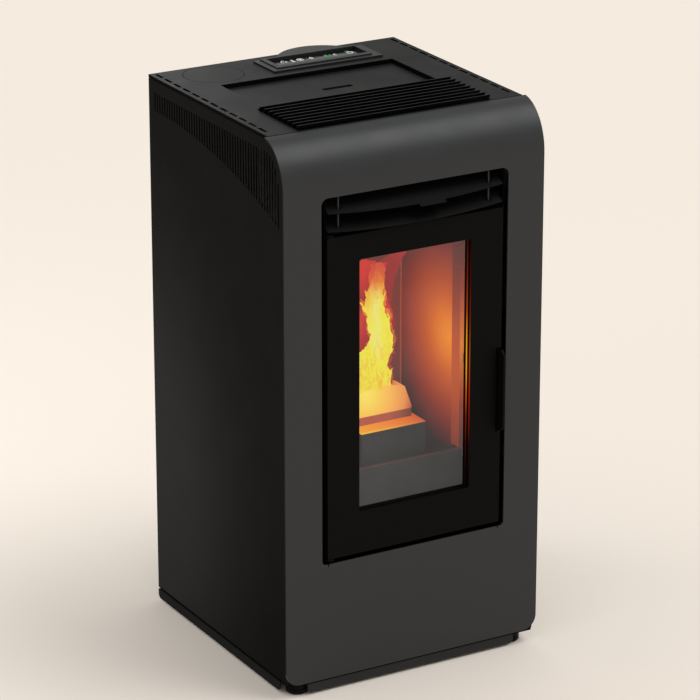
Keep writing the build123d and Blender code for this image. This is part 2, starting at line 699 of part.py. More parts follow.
def levelling_foot(side, depth):
    """Grooved drum with a hexagon and a stud in the floor tray's nut."""
    half_groove = FOOT_GROOVE
    middle = FOOT_HEIGHT * 0.55
    profile = [
        (0, 0), (FOOT_RADIUS - FOOT_EDGE, 0), (FOOT_RADIUS, FOOT_EDGE),
        (FOOT_RADIUS, middle - half_groove), (FOOT_RADIUS - FOOT_GROOVE, middle),
        (FOOT_RADIUS, middle + half_groove), (FOOT_RADIUS, FOOT_HEIGHT - 1),
        (FOOT_RADIUS - 1, FOOT_HEIGHT), (0, FOOT_HEIGHT),
    ]
    drum = revolve(Plane.XZ * Polygon(*profile, align=None), Axis.Z)
    hexagon_height = BASE_BOTTOM - FOOT_HEIGHT - REST
    hexagon = Pos(0, 0, FOOT_HEIGHT) * extrude(RegularPolygon(NUT_RADIUS, 6), hexagon_height)
    stud = Cylinder(STUD_RADIUS, STUD_TOP, align=FOOTED)
    return Pos(side * FOOT_X, back(depth), 0) * (drum + hexagon + stud)


# ---- Top ---------------------------------------------------------------------------
def top_plate():
    """Top sheet with folded edges, dashes, grille and screen openings and the lid's well."""
    rear = CASING_DEPTH
    front = TOP_JOINT + SEAM
    outline = area(both(SIDE_X), (front, rear))
    for side in (-1, 1):
        for index in range(DASH_COUNT):
            depth = DASH_FIRST + index * DASH_PITCH
            dash = Pos(side * (SIDE_X - DASH_INSET), depth + DASH_LENGTH / 2) * Rectangle(DASH_WIDTH, DASH_LENGTH)
            outline -= dash
    outline -= Pos(BLANK_X, BLANK_DEPTH) * Circle(BLANK_RADIUS + BLANK_GAP)
    outline -= area(both(GRILLE_WIDTH / 2), (GRILLE_FRONT, GRILLE_REAR))
    outline -= area(grow(PANEL_X, -4), grow(PANEL_DEPTH, -4))
    well = area(both(LID_WELL_WIDTH / 2), (LID_WELL_FRONT, LID_WELL_REAR))
    plate = seen_from_above(outline - well, (PLATE_BOTTOM, PLATE_TOP))
    rim_z = (PLATE_TOP - TOP_RIM, PLATE_TOP)
    plate += block((-SIDE_X, -SIDE_X + TOP_SHEET), (front, rear), rim_z)
    plate += block((SIDE_X - TOP_SHEET, SIDE_X), (front, rear), rim_z)
    plate += block(both(SIDE_X), (rear - TOP_SHEET, rear), rim_z)
    collar_z = (PLATE_BOTTOM - LID_WELL_WALL, PLATE_BOTTOM + 1)
    collar = area(both(LID_WELL_WIDTH / 2 + THIN_SHEET), (LID_WELL_FRONT, LID_WELL_REAR + THIN_SHEET))
    plate += seen_from_above(collar - well, collar_z)
    pin = cross_rod(both(SIDE_X - DASH_INSET), LID_AXIS_DEPTH, LID_AXIS_Z, LID_PIN_RADIUS + RUNNING)
    return plate - (pin & block(both(LID_WELL_WIDTH / 2 + 4), (LID_WELL_FRONT, LID_WELL_REAR), (900, PLATE_BOTTOM)))


def top_grille():
    """Raised slats over the warm air, leaning forward, on two rails."""
    half = GRILLE_WIDTH / 2 - SEAM
    rise = PLATE_TOP + GRILLE_RISE
    lean = math.radians(SLAT_LEAN)
    run = SLAT_REACH * math.sin(lean)
    drop = SLAT_REACH * math.cos(lean)
    thick = SLAT_SHEET / math.cos(lean)
    slats = Sketch()
    for index in range(SLAT_COUNT):
        top = GRILLE_REAR - 1.5 - run - index * SLAT_PITCH
        points = [
            (top - thick, rise), (top, rise), (top + run, rise - drop), (top + run - thick, rise - drop),
        ]
        slats += Polygon(*points, align=None)
    grille = seen_from_side(slats, both(half))
    rail_z = (rise - drop - 4, rise - drop + 3)
    first = GRILLE_FRONT + 1
    for x in (-half, -half / 3, half / 3 - 3, half - 3):
        grille += block((x, x + 3), (first, GRILLE_REAR - 2), rail_z)
    for side in (-1, 1):
        ear_x = sorted((side * (half - 3), side * (half + 12)))
        for depth in (GRILLE_FRONT + 14, GRILLE_REAR - 26):
            ear_z = (rail_z[0], rail_z[0] + THIN_SHEET)
            riser = sorted((side * (half + 12 - THIN_SHEET), side * (half + 12)))
            grille += block(ear_x, (depth, depth + 12), ear_z)
            grille += block(riser, (depth, depth + 12), (ear_z[0], PLATE_BOTTOM))
    return grille


def flue_blanking_disc():
    """Disc that closes the upper flue exit, on three tabs."""
    disc = rod(BLANK_X, BLANK_DEPTH, PLATE_BOTTOM, (0, 0, 1), TOP_SHEET, BLANK_RADIUS)
    for angle in (30, 150, 270):
        tab = Pos(BLANK_X, back(BLANK_DEPTH), PLATE_BOTTOM - THIN_SHEET) * Rot(0, 0, angle)
        disc += tab * Pos(BLANK_RADIUS - 2, 0, 0) * Box(14, 8, THIN_SHEET, align=FOOTED)
    return disc


def control_bezel():
    """Two-step frame of the control panel with its closed housing and rear lobe."""
    face = PLATE_TOP + PANEL_RISE
    top = face + RAISED_RISE
    frame = block(PANEL_X, PANEL_DEPTH, (PLATE_TOP, face))
    frame += block(RAISED_X, RAISED_DEPTH, (face - 1, top))
    housing_z = (PLATE_BOTTOM - HOUSING_DROP, PLATE_TOP + 1)
    frame += block(grow(PANEL_X, -HOUSING_INSET), grow(PANEL_DEPTH, -HOUSING_INSET), housing_z)
    frame -= block(SCREEN_X, SCREEN_DEPTH, (top - SCREEN_SINK - SCREEN_SHEET, top + 1))
    frame -= block(grow(SCREEN_X, -4), grow(SCREEN_DEPTH, -4), (PLATE_TOP - HOUSING_DROP, top))
    lobe = Pos(LOBE_X, CASING_DEPTH + LOBE_REACH - LOBE_RADIUS) * Circle(LOBE_RADIUS)
    behind = area(both(SIDE_X), (PANEL_REAR - 2, CASING_DEPTH + 2 * LOBE_REACH))
    lip = seen_from_above(lobe & behind, (PLATE_TOP, PLATE_TOP + PANEL_RISE))
    past = area(both(SIDE_X), (CASING_DEPTH, CASING_DEPTH + 2 * LOBE_REACH))
    skirt = seen_from_above(lobe & past, (PLATE_TOP + PANEL_RISE - LOBE_THICK, PLATE_TOP + PANEL_RISE))
    return frame + lip + skirt


def control_display():
    """Flat screen seated in the bezel's step."""
    top = PLATE_TOP + PANEL_RISE + RAISED_RISE - SCREEN_SINK
    return block(grow(SCREEN_X, -SEAM), grow(SCREEN_DEPTH, -SEAM), (top - SCREEN_SHEET, top))


def hopper_lid():
    """Sunk lid with folded rims, finger pocket and two hinge pins."""
    half = LID_WELL_WIDTH / 2 - LID_GAP
    depth = (LID_WELL_FRONT + LID_GAP, LID_WELL_REAR - LID_GAP)
    z = (LID_FACE - LID_RIM, LID_FACE)
    lid = block(both(half), depth, z)
    lid -= block(both(half - THIN_SHEET), grow(depth, -THIN_SHEET), (z[0] - 1, z[1] - TOP_SHEET))
    grip_x = (GRIP_X - GRIP_LENGTH / 2, GRIP_X + GRIP_LENGTH / 2)
    grip_depth = (GRIP_DEPTH - GRIP_WIDTH / 2, GRIP_DEPTH + GRIP_WIDTH / 2)
    pocket_z = (LID_FACE - GRIP_POCKET, LID_FACE)
    lid += block(grow(grip_x, THIN_SHEET), grow(grip_depth, THIN_SHEET), pocket_z)
    lid -= block(grip_x, grip_depth, (pocket_z[0] + THIN_SHEET, LID_FACE + 1))
    for side in (-1, 1):
        pin_x = sorted((side * (half - THIN_SHEET), side * (half + LID_GAP + THIN_SHEET)))
        lid += cross_rod(pin_x, LID_AXIS_DEPTH, LID_AXIS_Z, LID_PIN_RADIUS)
    return lid


def lid_gasket():
    """Soft strip under the lid that closes on the hopper's flange."""
    half = LID_WELL_WIDTH / 2 - LID_GAP - THIN_SHEET - 3
    depth = (LID_WELL_FRONT + LID_GAP + THIN_SHEET + 3, LID_WELL_REAR - 12)
    ring = soft_area(both(half), depth, 6) - soft_area(both(half - 6), grow(depth, -6), 3)
    return seen_from_above(ring, (HOPPER_TOP + REST, LID_FACE - TOP_SHEET))


# ---- Pellet feed -------------------------------------------------------------------
def hopper_form(wall, top):
    """Solid outline of the hopper, or of its inside when a wall is given."""
    clear = PLENUM_TOP + 3
    shelf = LID_WELL_FRONT + 4
    slope = HOPPER_FRONT - shelf
    side_points = [
        (shelf + wall, top), (LID_WELL_REAR - 12 - wall, top),
        (LID_WELL_REAR - 12 - wall, HOPPER_TOP - 30 + wall / 2),
        (HOPPER_REAR - wall, HOPPER_TOP - 30 - (HOPPER_REAR - LID_WELL_REAR + 12) + wall / 2),
        (HOPPER_REAR - wall, NECK_Z + 60), (NECK_DEPTH[1], NECK_Z), (NECK_DEPTH[1], NECK_Z - wall),
        (NECK_DEPTH[0], NECK_Z - wall), (NECK_DEPTH[0], NECK_Z + wall / 2),
        (HOPPER_FRONT + wall, HOPPER_BREAK - 40 + wall / 2), (HOPPER_FRONT + wall, clear + wall / 2),
        (shelf + wall, clear + slope + wall / 2),
    ]
    front_points = [
        (-HOPPER_HALF + wall, top), (-HOPPER_HALF + wall, HOPPER_BREAK), (-NECK_HALF, NECK_Z + wall),
        (-NECK_HALF, NECK_Z - wall), (NECK_HALF, NECK_Z - wall), (NECK_HALF, NECK_Z + wall),
        (HOPPER_HALF - wall, HOPPER_BREAK), (HOPPER_HALF - wall, top),
    ]
    deep = seen_from_side(Polygon(*side_points, align=None), both(HOPPER_HALF - wall))
    wide = seen_from_front(Polygon(*front_points, align=None), (0, CASING_DEPTH))
    return deep & wide


def hopper():
    """Pellet tank that narrows to the auger's inlet."""
    shell = hopper_form(0, HOPPER_TOP)
    x = both(LID_WELL_WIDTH / 2 + THIN_SHEET)
    depth = (LID_WELL_FRONT, LID_WELL_REAR + THIN_SHEET)
    shell += block(x, depth, (HOPPER_TOP - THIN_SHEET, HOPPER_TOP))
    return shell - hopper_form(HOPPER_WALL, HOPPER_TOP + 1)


def auger_point(distance):
    """Depth and height of a point on the auger's axis, from its lower end."""
    return [low + distance * way for low, way in zip(AUGER_LOW, AUGER_UNIT)]


def auger_line(start, length, radius):
    """A round bar on the auger's axis, from a distance along it."""
    return rod(0, *auger_point(start), (0, *AUGER_UNIT), length, radius)


def chute_form(grown, start, tip):
    """Slanting bar of the chute's section, from the auger towards the fire."""
    slope = math.radians(CHUTE_SLOPE)
    depth, height = auger_point(AUGER_RUN - CHUTE_OFFSET)
    half = (CHUTE_HEIGHT / 2 + grown) / math.cos(slope)
    near = height + (start - depth) * math.tan(slope)
    far = height + (tip - depth) * math.tan(slope)
    points = [(start, near - half), (start, near + half), (tip, far + half), (tip, far - half)]
    return seen_from_side(Polygon(*points, align=None), both(CHUTE_WIDTH / 2 + grown))


def auger_tube():
    """Inclined feed tube with its inlet collar, end caps and the chute's mouth."""
    outer = AUGER_BORE + AUGER_WALL
    body = auger_line(-AUGER_CAP, AUGER_RUN + 2 * AUGER_CAP, outer)
    collar_z = (AUGER_LOW[1], NECK_Z - HOPPER_WALL)
    collar = block(both(NECK_HALF + AUGER_WALL), grow(NECK_DEPTH, AUGER_WALL), collar_z)
    body += collar - auger_line(-AUGER_CAP - GEARBOX_SIZE, GEARBOX_SIZE, GEARBOX_SIZE)
    inlet = block(both(NECK_HALF - HOPPER_WALL), grow(NECK_DEPTH, -HOPPER_WALL), (AUGER_LOW[1] + 6, NECK_Z))
    body -= [inlet, auger_line(0, AUGER_RUN, AUGER_BORE)]
    body -= auger_line(-AUGER_CAP - 1, AUGER_CAP + 2, DRIVE_RADIUS + RUNNING)
    mouth = chute_form(-THIN_SHEET, AUGER_HIGH[0] + CHUTE_OFFSET / 2, AUGER_HIGH[0] - 2 * outer)
    return body - mouth


def auger_screw():
    """Helical flight on a core, driven at its lower end."""
    start = 6.0
    length = AUGER_RUN - 2 * start
    core = Cylinder(CORE_RADIUS, length, align=FOOTED)
    drive = Pos(0, 0, -start - AUGER_CAP - 8) * Cylinder(DRIVE_RADIUS, start + AUGER_CAP + 9, align=FOOTED)
    middle = (FLIGHT_RADIUS + CORE_RADIUS) / 2 - 0.5
    depth = FLIGHT_RADIUS - CORE_RADIUS + 1
    path = Helix(FLIGHT_PITCH, length - FLIGHT_PITCH / 4, middle)
    section = Plane(origin=path @ 0, x_dir=(1, 0, 0), z_dir=path % 0) * Rectangle(depth, FLIGHT_SHEET)
    flight = Pos(0, 0, FLIGHT_PITCH / 8) * sweep(section, path=path, is_frenet=True)
    screw = core + drive + flight
    depth, height = auger_point(start)
    return Plane(origin=(0, back(depth), height), x_dir=(1, 0, 0), z_dir=(0, *AUGER_UNIT)) * screw


def auger_motor():
    """Geared motor on the auger tube's lower cap."""
    depth, height = auger_point(-AUGER_CAP)
    away = [-way for way in AUGER_UNIT]
    plane = Plane(origin=(0, back(depth), height), x_dir=(1, 0, 0), z_dir=(0, *away))
    gears = Box(GEARBOX_SIZE, GEARBOX_SIZE, GEARBOX_LENGTH, align=FOOTED)
    gears -= Cylinder(DRIVE_RADIUS + RUNNING, 2 * GEARBOX_LENGTH - 8)
    can = Pos(0, 0, GEARBOX_LENGTH) * Cylinder(GEARMOTOR_RADIUS, GEARMOTOR_LENGTH, align=FOOTED)
    return plane * (gears + can)


def feed_chute():
    """Sheet chute through the fireback, ending over the burn pot."""
    start = auger_point(AUGER_RUN - CHUTE_OFFSET)[0]
    outer = chute_form(0, start, CHUTE_TIP)
    inner = chute_form(-THIN_SHEET, start + 1, CHUTE_TIP - 1)
    return outer - inner - auger_line(-AUGER_CAP, AUGER_RUN + 2 * AUGER_CAP, AUGER_BORE + AUGER_WALL)


# ---- Firebox -----------------------------------------------------------------------
def rear_pipes(margin):
    """Cutters for what passes through the fireback and the firebox's rear wall."""
    start = FIREBACK_DEPTH - 2 * PLATE_SHEET
    length = FIREBOX_REAR - start + PLATE_SHEET
    return [
        rod(0, start, INTAKE_Z, (0, 1, 0), length, INTAKE_TAIL + margin),
        rod(IGNITER_X, start, INTAKE_Z, (0, 1, 0), length, IGNITER_RADIUS + margin),
        chute_form(margin, FIREBOX_REAR + 4, start),
    ]


def tube_places():
    """x of the heat exchanger's tubes."""
    return [(index - (TUBE_COUNT - 1) / 2) * TUBE_PITCH for index in range(TUBE_COUNT)]


def firebox_shell():
    """Welded steel firebox with its sealing face, tube holes and smoke outlet."""
    span = (FIREBOX_BASE, FIREBOX_TOP)
    shell = block(both(FIREBOX_OUTER), (FACE_DEPTH, FIREBOX_REAR), span)
    shell += block(both(FACE_WIDTH / 2), (FACE_DEPTH, FACE_DEPTH + PLATE_SHEET), (FACE_BOTTOM, FIREBOX_TOP))
    inside = (FACE_DEPTH + PLATE_SHEET, FIREBOX_BACK)
    shell -= block(both(FIREBOX_HALF), inside, (FIREBOX_FLOOR, FIREBOX_CEILING))
    window = (FIREBOX_FLOOR, FIRE_WINDOW_TOP)
    shell -= block(both(FIREBOX_HALF), (FACE_DEPTH - 1, FACE_DEPTH + PLATE_SHEET + 1), window)
    jamb_z = (PAN_FACE_TOP + THIN_SHEET, LINER_TOP)
    for side in (-1, 1):
        x = sorted((side * FIREBOX_HALF, side * (FIREBOX_HALF - LINER_SHEET)))
        shell += block(x, (FACE_DEPTH + PLATE_SHEET, LINER_START - SEAM), jamb_z)
    length = FIREBOX_REAR - FACE_DEPTH + 2
    holes = [rod(x, FACE_DEPTH - 1, TUBE_Z, (0, 1, 0), length, TUBE_RADIUS) for x in tube_places()]
    smoke = block(SMOKE_HOLE_X, (FIREBOX_BACK - 1, FIREBOX_REAR + 1), SMOKE_HOLE_Z)
    return shell - holes - smoke - rear_pipes(SEAM)


def fireback():
    """Plate that parts the fire from the smoke channel behind it."""
    depth = (FIREBACK_DEPTH - PLATE_SHEET, FIREBACK_DEPTH)
    plate = block(both(FIREBOX_HALF), depth, (FIREBOX_FLOOR, LINER_TOP))
    return plate - rear_pipes(SEAM)


def side_liners():
    """Two plates that line the firebox's sides."""
    depth = (LINER_START, FIREBACK_DEPTH - PLATE_SHEET)
    liners = []
    for side in (-1, 1):
        x = sorted((side * FIREBOX_HALF, side * (FIREBOX_HALF - LINER_SHEET)))
        liners.append(block(x, depth, (HEARTH_TOP, LINER_TOP)))
    return Compound(liners)


def hearth_plate():
    """Firebox floor with the ash slot behind the ash pan's face."""
    depth = (PAN_DEPTH[0] + THIN_SHEET, FIREBACK_DEPTH - PLATE_SHEET)
    plate = block(both(FIREBOX_HALF), depth, (HEARTH_TOP - PLATE_SHEET, HEARTH_TOP))
    slot = block(both(ASH_SLOT_WIDTH / 2), ASH_SLOT_DEPTH, (HEARTH_TOP - 2 * PLATE_SHEET, HEARTH_TOP + 1))
    return plate - slot


def heat_exchanger_tubes():
    """Room air tubes across the top of the firebox."""
    length = FIREBOX_REAR - FACE_DEPTH + 2
    return Compound([
        tube(x, FACE_DEPTH, TUBE_Z, (0, 1, 0), length, TUBE_RADIUS, TUBE_WALL) for x in tube_places()
    ])


def burn_pot_holder():
    """Air box on the hearth in which the burn pot hangs."""
    box = tub(both(HOLDER_WIDTH / 2), HOLDER_DEPTH, (HEARTH_TOP, HOLDER_TOP), PLATE_SHEET, PLATE_SHEET)
    seat_x = both(CUP_WIDTH / 2 + CUP_CLEARANCE)
    box -= block(seat_x, grow(CUP_DEPTH, CUP_CLEARANCE), (HOLDER_TOP - 2 * PLATE_SHEET, HOLDER_TOP + 1))
    rear = HOLDER_DEPTH[1] - 2 * PLATE_SHEET
    box -= rod(0, rear, INTAKE_Z, (0, 1, 0), 3 * PLATE_SHEET, INTAKE_TAIL - PIPE_WALL)
    return box - rod(IGNITER_X, rear, INTAKE_Z, (0, 1, 0), 3 * PLATE_SHEET, IGNITER_RADIUS + SEAM)


def burn_pot():
    """Tapered cast pot with an arched rim, a band and a slotted cup below."""
    seat = HOLDER_TOP + REST
    shoulder = seat + POT_BAND
    middle = (POT_DEPTH[0] + POT_DEPTH[1]) / 2
    rise = (POT_CROWN + 2 - shoulder) / (POT_SHOULDER - shoulder)
    top_width = POT_WIDTH - (POT_WIDTH - POT_TOP_WIDTH) * rise
    top_depth = (POT_DEPTH[1] - POT_DEPTH[0]) * (1 - rise) + (POT_TOP_DEPTH[1] - POT_TOP_DEPTH[0]) * rise
    low = Pos(0, back(middle), shoulder) * Rectangle(POT_WIDTH, POT_DEPTH[1] - POT_DEPTH[0])
    high = Pos(0, back(middle), POT_CROWN + 2) * Rectangle(top_width, top_depth)
    band = area(both(POT_WIDTH / 2), POT_DEPTH)
    pot = seen_from_above(band, (seat, shoulder)) + loft([low, high])
    pot = fillet(pot.edges().filter_by(Axis.Z).filter_by_position(Axis.Z, seat, shoulder), POT_WALL)
    arch = ThreePointArc((-POT_TOP_WIDTH / 2, POT_SHOULDER), (0, POT_CROWN), (POT_TOP_WIDTH / 2, POT_SHOULDER))
    sides = Polyline(arch @ 1, (POT_WIDTH, POT_SHOULDER), (POT_WIDTH, 0), (-POT_WIDTH, 0),
                     (-POT_WIDTH, POT_SHOULDER), arch @ 0)
    pot = pot & seen_from_front(make_face([arch, sides]), grow(POT_DEPTH, 5))
    pot += block(both(CUP_WIDTH / 2), CUP_DEPTH, (CUP_BOTTOM, seat))
    floor = CUP_BOTTOM + POT_WALL
    cup_span = CUP_DEPTH[1] - CUP_DEPTH[0] - 2 * POT_WALL
    rim_span = POT_TOP_DEPTH[1] - POT_TOP_DEPTH[0] - 1.6 * POT_WALL
    deep = Pos(0, back(middle), floor) * Rectangle(CUP_WIDTH - 2 * POT_WALL, cup_span)
    wide = Pos(0, back(middle), POT_CROWN + 3) * Rectangle(POT_TOP_WIDTH - 2.4 * POT_WALL, rim_span)
    pot -= loft([deep, wide])
    for index in range(GRATE_SLOTS):
        x = (index - (GRATE_SLOTS - 1) / 2) * 4 * GRATE_SLOT_WIDTH
        slot_x = (x - GRATE_SLOT_WIDTH / 2, x + GRATE_SLOT_WIDTH / 2)
        slot_depth = (middle - GRATE_SLOT_LENGTH / 2, middle + GRATE_SLOT_LENGTH / 2)
        pot -= block(slot_x, slot_depth, (CUP_BOTTOM - 1, floor + 1))
    return pot


def ash_pan():
    """Removable tray whose face closes the lower part of the firebox's mouth."""
    tray = tub(both(PAN_HALF), PAN_DEPTH, (FIREBOX_FLOOR, PAN_TOP), THIN_SHEET)
    face_depth = (PAN_DEPTH[0] - THIN_SHEET, PAN_DEPTH[0])
    tray += block(both(PAN_FACE_HALF), face_depth, (FIREBOX_FLOOR, PAN_FACE_TOP))
    lip_depth = (PAN_DEPTH[0] - THIN_SHEET, PAN_DEPTH[0] - THIN_SHEET + PAN_LIP)
    lip_z = (PAN_FACE_TOP - THIN_SHEET, PAN_FACE_TOP)
    return tray + block(both(PAN_FACE_HALF), lip_depth, lip_z)


def air_intake_pipe():
    """Combustion air pipe from the burn pot's box, sleeved behind the stove."""
    start = HOLDER_DEPTH[1]
    length = CASING_DEPTH + INTAKE_PROUD - start
    pipe = tube(0, start, INTAKE_Z, (0, 1, 0), length, INTAKE_TAIL, PIPE_WALL)
    return pipe + tube(0, CASING_DEPTH, INTAKE_Z, (0, 1, 0), INTAKE_PROUD, INTAKE_RADIUS, PIPE_WALL)


def igniter():
    """Heating rod aimed at the burn pot, on a flange outside the firebox."""
    tip = CUP_DEPTH[1] + 2 * CUP_CLEARANCE
    rod_length = FIREBOX_REAR + 30 - tip
    stem = rod(IGNITER_X, tip, INTAKE_Z, (0, 1, 0), rod_length, IGNITER_RADIUS)
    return stem + rod(IGNITER_X, FIREBOX_REAR, INTAKE_Z, (0, 1, 0), PLATE_SHEET, 2 * IGNITER_RADIUS)


# ---- Room air ----------------------------------------------------------------------
def air_plenum():
    """Flat duct behind the firebox that feeds the tubes, with a gap for the chute."""
    x = both(PLENUM_HALF)
    depth = (FIREBOX_REAR, PLENUM_BACK)
    z = (PLENUM_BOTTOM, PLENUM_TOP)
    duct = block(x, depth, z)
    duct -= block(grow(x, -THIN_SHEET), (depth[0] - 1, depth[1] - THIN_SHEET), grow(z, -THIN_SHEET))
    duct += block(both(PASSAGE_HALF), depth, PASSAGE_Z)
    passage = block(both(PASSAGE_HALF - THIN_SHEET), grow(depth, 1), grow(PASSAGE_Z, -THIN_SHEET))
    mouth_z = (FAN_AXIS[1] - FAN_SCROLL + THIN_SHEET, FAN_AXIS[1] - FAN_SCROLL + FAN_MOUTH)
    mouth = block(both(FAN_HALF - THIN_SHEET), (depth[1] - 3, depth[1] + 1), mouth_z)
    return duct - passage - mouth


def room_fan_housing():
    """Scroll of the cross-flow fan, open to the plenum and to the casing."""
    bottom = FAN_AXIS[1] - FAN_SCROLL
    throat = area((PLENUM_BACK, FAN_AXIS[0]), (bottom, bottom + FAN_MOUTH))
    outer = Pos(*FAN_AXIS) * Circle(FAN_SCROLL) + throat
    inner_throat = area((PLENUM_BACK - 1, FAN_AXIS[0]), (bottom + THIN_SHEET, bottom + FAN_MOUTH - THIN_SHEET))
    inner = Pos(*FAN_AXIS) * Circle(FAN_SCROLL - THIN_SHEET) + inner_throat
    housing = seen_from_side(outer, both(FAN_HALF))
    housing -= seen_from_side(inner, both(FAN_HALF - THIN_SHEET))
    intake_z = (FAN_AXIS[1] + 8, FAN_AXIS[1] + 2 * FAN_SCROLL)
    housing -= block(both(FAN_HALF - 8), (FAN_AXIS[0] + 8, FAN_AXIS[0] + 2 * FAN_SCROLL), intake_z)
    shaft = cross_rod(both(FAN_HALF + 1), *FAN_AXIS, ROTOR_SHAFT + RUNNING)
    return housing - shaft


def room_fan_rotor():
    """Cross-flow rotor: a ring of blades between discs on a shaft."""
    ring = Sketch()
    for index in range(ROTOR_BLADES):
        blade = Pos(ROTOR_RADIUS - 5, 0) * Rot(0, 0, 35) * Rectangle(8, 1.2)
        ring += Rot(0, 0, index * 360 / ROTOR_BLADES) * blade
    ring = ring & Circle(ROTOR_RADIUS)
    rotor = seen_from_side(Pos(*FAN_AXIS) * ring, both(ROTOR_HALF))
    for x in (-ROTOR_HALF, -1, ROTOR_HALF - 2):
        rotor += cross_rod((x, x + 2), *FAN_AXIS, ROTOR_RADIUS)
    return rotor + cross_rod((-FAN_HALF + SEAM - THIN_SHEET, FAN_HALF + FAN_MOTOR_LENGTH / 2), *FAN_AXIS, ROTOR_SHAFT)


def room_fan_motor():
    """Motor on the scroll's end plate, around the rotor's shaft."""
    motor = cross_rod((FAN_HALF, FAN_HALF + 3), *FAN_AXIS, FAN_MOTOR_RADIUS + 6)
    motor += cross_rod((FAN_HALF, FAN_HALF + FAN_MOTOR_LENGTH), *FAN_AXIS, FAN_MOTOR_RADIUS)
    bore_x = (FAN_HALF - 1, FAN_HALF + FAN_MOTOR_LENGTH / 2 + 2)
    return motor - cross_rod(bore_x, *FAN_AXIS, ROTOR_SHAFT + RUNNING)


# ---- Smoke side --------------------------------------------------------------------
def smoke_duct():
    """Duct from the firebox's smoke outlet to the exhaust fan's eye."""
    depth = (FIREBOX_REAR, DUCT_REAR)
    duct = tub(DUCT_X, depth, DUCT_Z, THIN_SHEET, THIN_SHEET)
    duct -= block(SMOKE_HOLE_X, (depth[0] - 1, depth[0] + 3), SMOKE_HOLE_Z)
    eye = cross_rod((DUCT_X[0] - 1, DUCT_X[0] + 3), *EXHAUST_AXIS, EXHAUST_INLET)
    return duct - eye


def exhaust_fan_housing():
    """Volute with its eye towards the smoke duct and its mouth towards the flue."""
    mouth_z = (FLUE_Z - EXHAUST_MOUTH / 2, FLUE_Z + EXHAUST_MOUTH / 2)
    outer = Pos(*EXHAUST_AXIS) * Circle(EXHAUST_RADIUS)
    outer += area((EXHAUST_AXIS[0], EXHAUST_END), mouth_z)
    inner = Pos(*EXHAUST_AXIS) * Circle(EXHAUST_RADIUS - THIN_SHEET)
    inner += area((EXHAUST_AXIS[0], EXHAUST_END + 1), grow(mouth_z, -THIN_SHEET))
    volute = seen_from_side(outer, EXHAUST_X) - seen_from_side(inner, grow(EXHAUST_X, -THIN_SHEET))
    flange = flue_flange((EXHAUST_END - PLATE_SHEET, EXHAUST_END))
    mouth_x = grow(EXHAUST_X, -THIN_SHEET)
    flange -= block(mouth_x, (EXHAUST_END - 4, EXHAUST_END + 1), grow(mouth_z, -THIN_SHEET))
    eye = cross_rod((EXHAUST_X[1] - 3, EXHAUST_X[1] + 1), *EXHAUST_AXIS, EXHAUST_INLET)
    shaft = cross_rod((EXHAUST_X[0] - 1, EXHAUST_X[0] + 3), *EXHAUST_AXIS, ROTOR_SHAFT + RUNNING)
    return volute + flange - eye - shaft


def exhaust_impeller():
    """Open impeller: back disc with curved vanes on the motor's shaft."""
    left = EXHAUST_X[0] + 8
    disc = cross_rod((left, left + 2), *EXHAUST_AXIS, IMPELLER_RADIUS)
    vanes = Sketch()
    for index in range(IMPELLER_VANES):
        arc = ThreePointArc((14, 0), (34, 8), (IMPELLER_RADIUS - 2, 26))
        inner = ThreePointArc((14, -2), (34, 6), (IMPELLER_RADIUS - 1, 24))
        ends = [Line(arc @ 1, inner @ 1), Line(arc @ 0, inner @ 0)]
        vanes += Rot(0, 0, index * 360 / IMPELLER_VANES) * make_face([arc, inner, *ends])
    vanes = vanes & Circle(IMPELLER_RADIUS)
    wheel = disc + seen_from_side(Pos(*EXHAUST_AXIS) * vanes, (left, left + IMPELLER_WIDTH))
    wheel += cross_rod((left, left + 16), *EXHAUST_AXIS, 10)
    return wheel + cross_rod((EXHAUST_X[0] - EXHAUST_MOTOR_LENGTH / 2, left + 1), *EXHAUST_AXIS, ROTOR_SHAFT)


def exhaust_fan_motor():
    """Motor on the volute's outer side, with a cooling disc at its end."""
    face = EXHAUST_X[0]
    motor = cross_rod((face - 3, face), *EXHAUST_AXIS, EXHAUST_MOTOR_RADIUS + 8)
    motor += cross_rod((face - EXHAUST_MOTOR_LENGTH, face), *EXHAUST_AXIS, EXHAUST_MOTOR_RADIUS)
    bore_x = (face - EXHAUST_MOTOR_LENGTH / 2 - 2, face + 1)
    return motor - cross_rod(bore_x, *EXHAUST_AXIS, ROTOR_SHAFT + RUNNING)


def flue_flange(depth):
    """Square flange round the flue's axis."""
    x = (FLUE_X - FLANGE_HALF, FLUE_X + FLANGE_HALF)
    return block(x, depth, (FLUE_Z - FLANGE_HALF, FLUE_Z + FLANGE_HALF))


def flue_spigot():
    """Flue outlet pipe with its flange on the exhaust fan, sleeved behind the stove."""
    length = CASING_DEPTH + FLUE_PROUD - EXHAUST_END
    pipe = flue_flange((EXHAUST_END, EXHAUST_END + PLATE_SHEET))
    pipe += rod(FLUE_X, EXHAUST_END, FLUE_Z, (0, 1, 0), length, FLUE_TAIL)
    pipe += rod(FLUE_X, CASING_DEPTH, FLUE_Z, (0, 1, 0), FLUE_PROUD, FLUE_RADIUS)
    return pipe - rod(FLUE_X, EXHAUST_END - 1, FLUE_Z, (0, 1, 0), length + 2, FLUE_TAIL - PIPE_WALL)


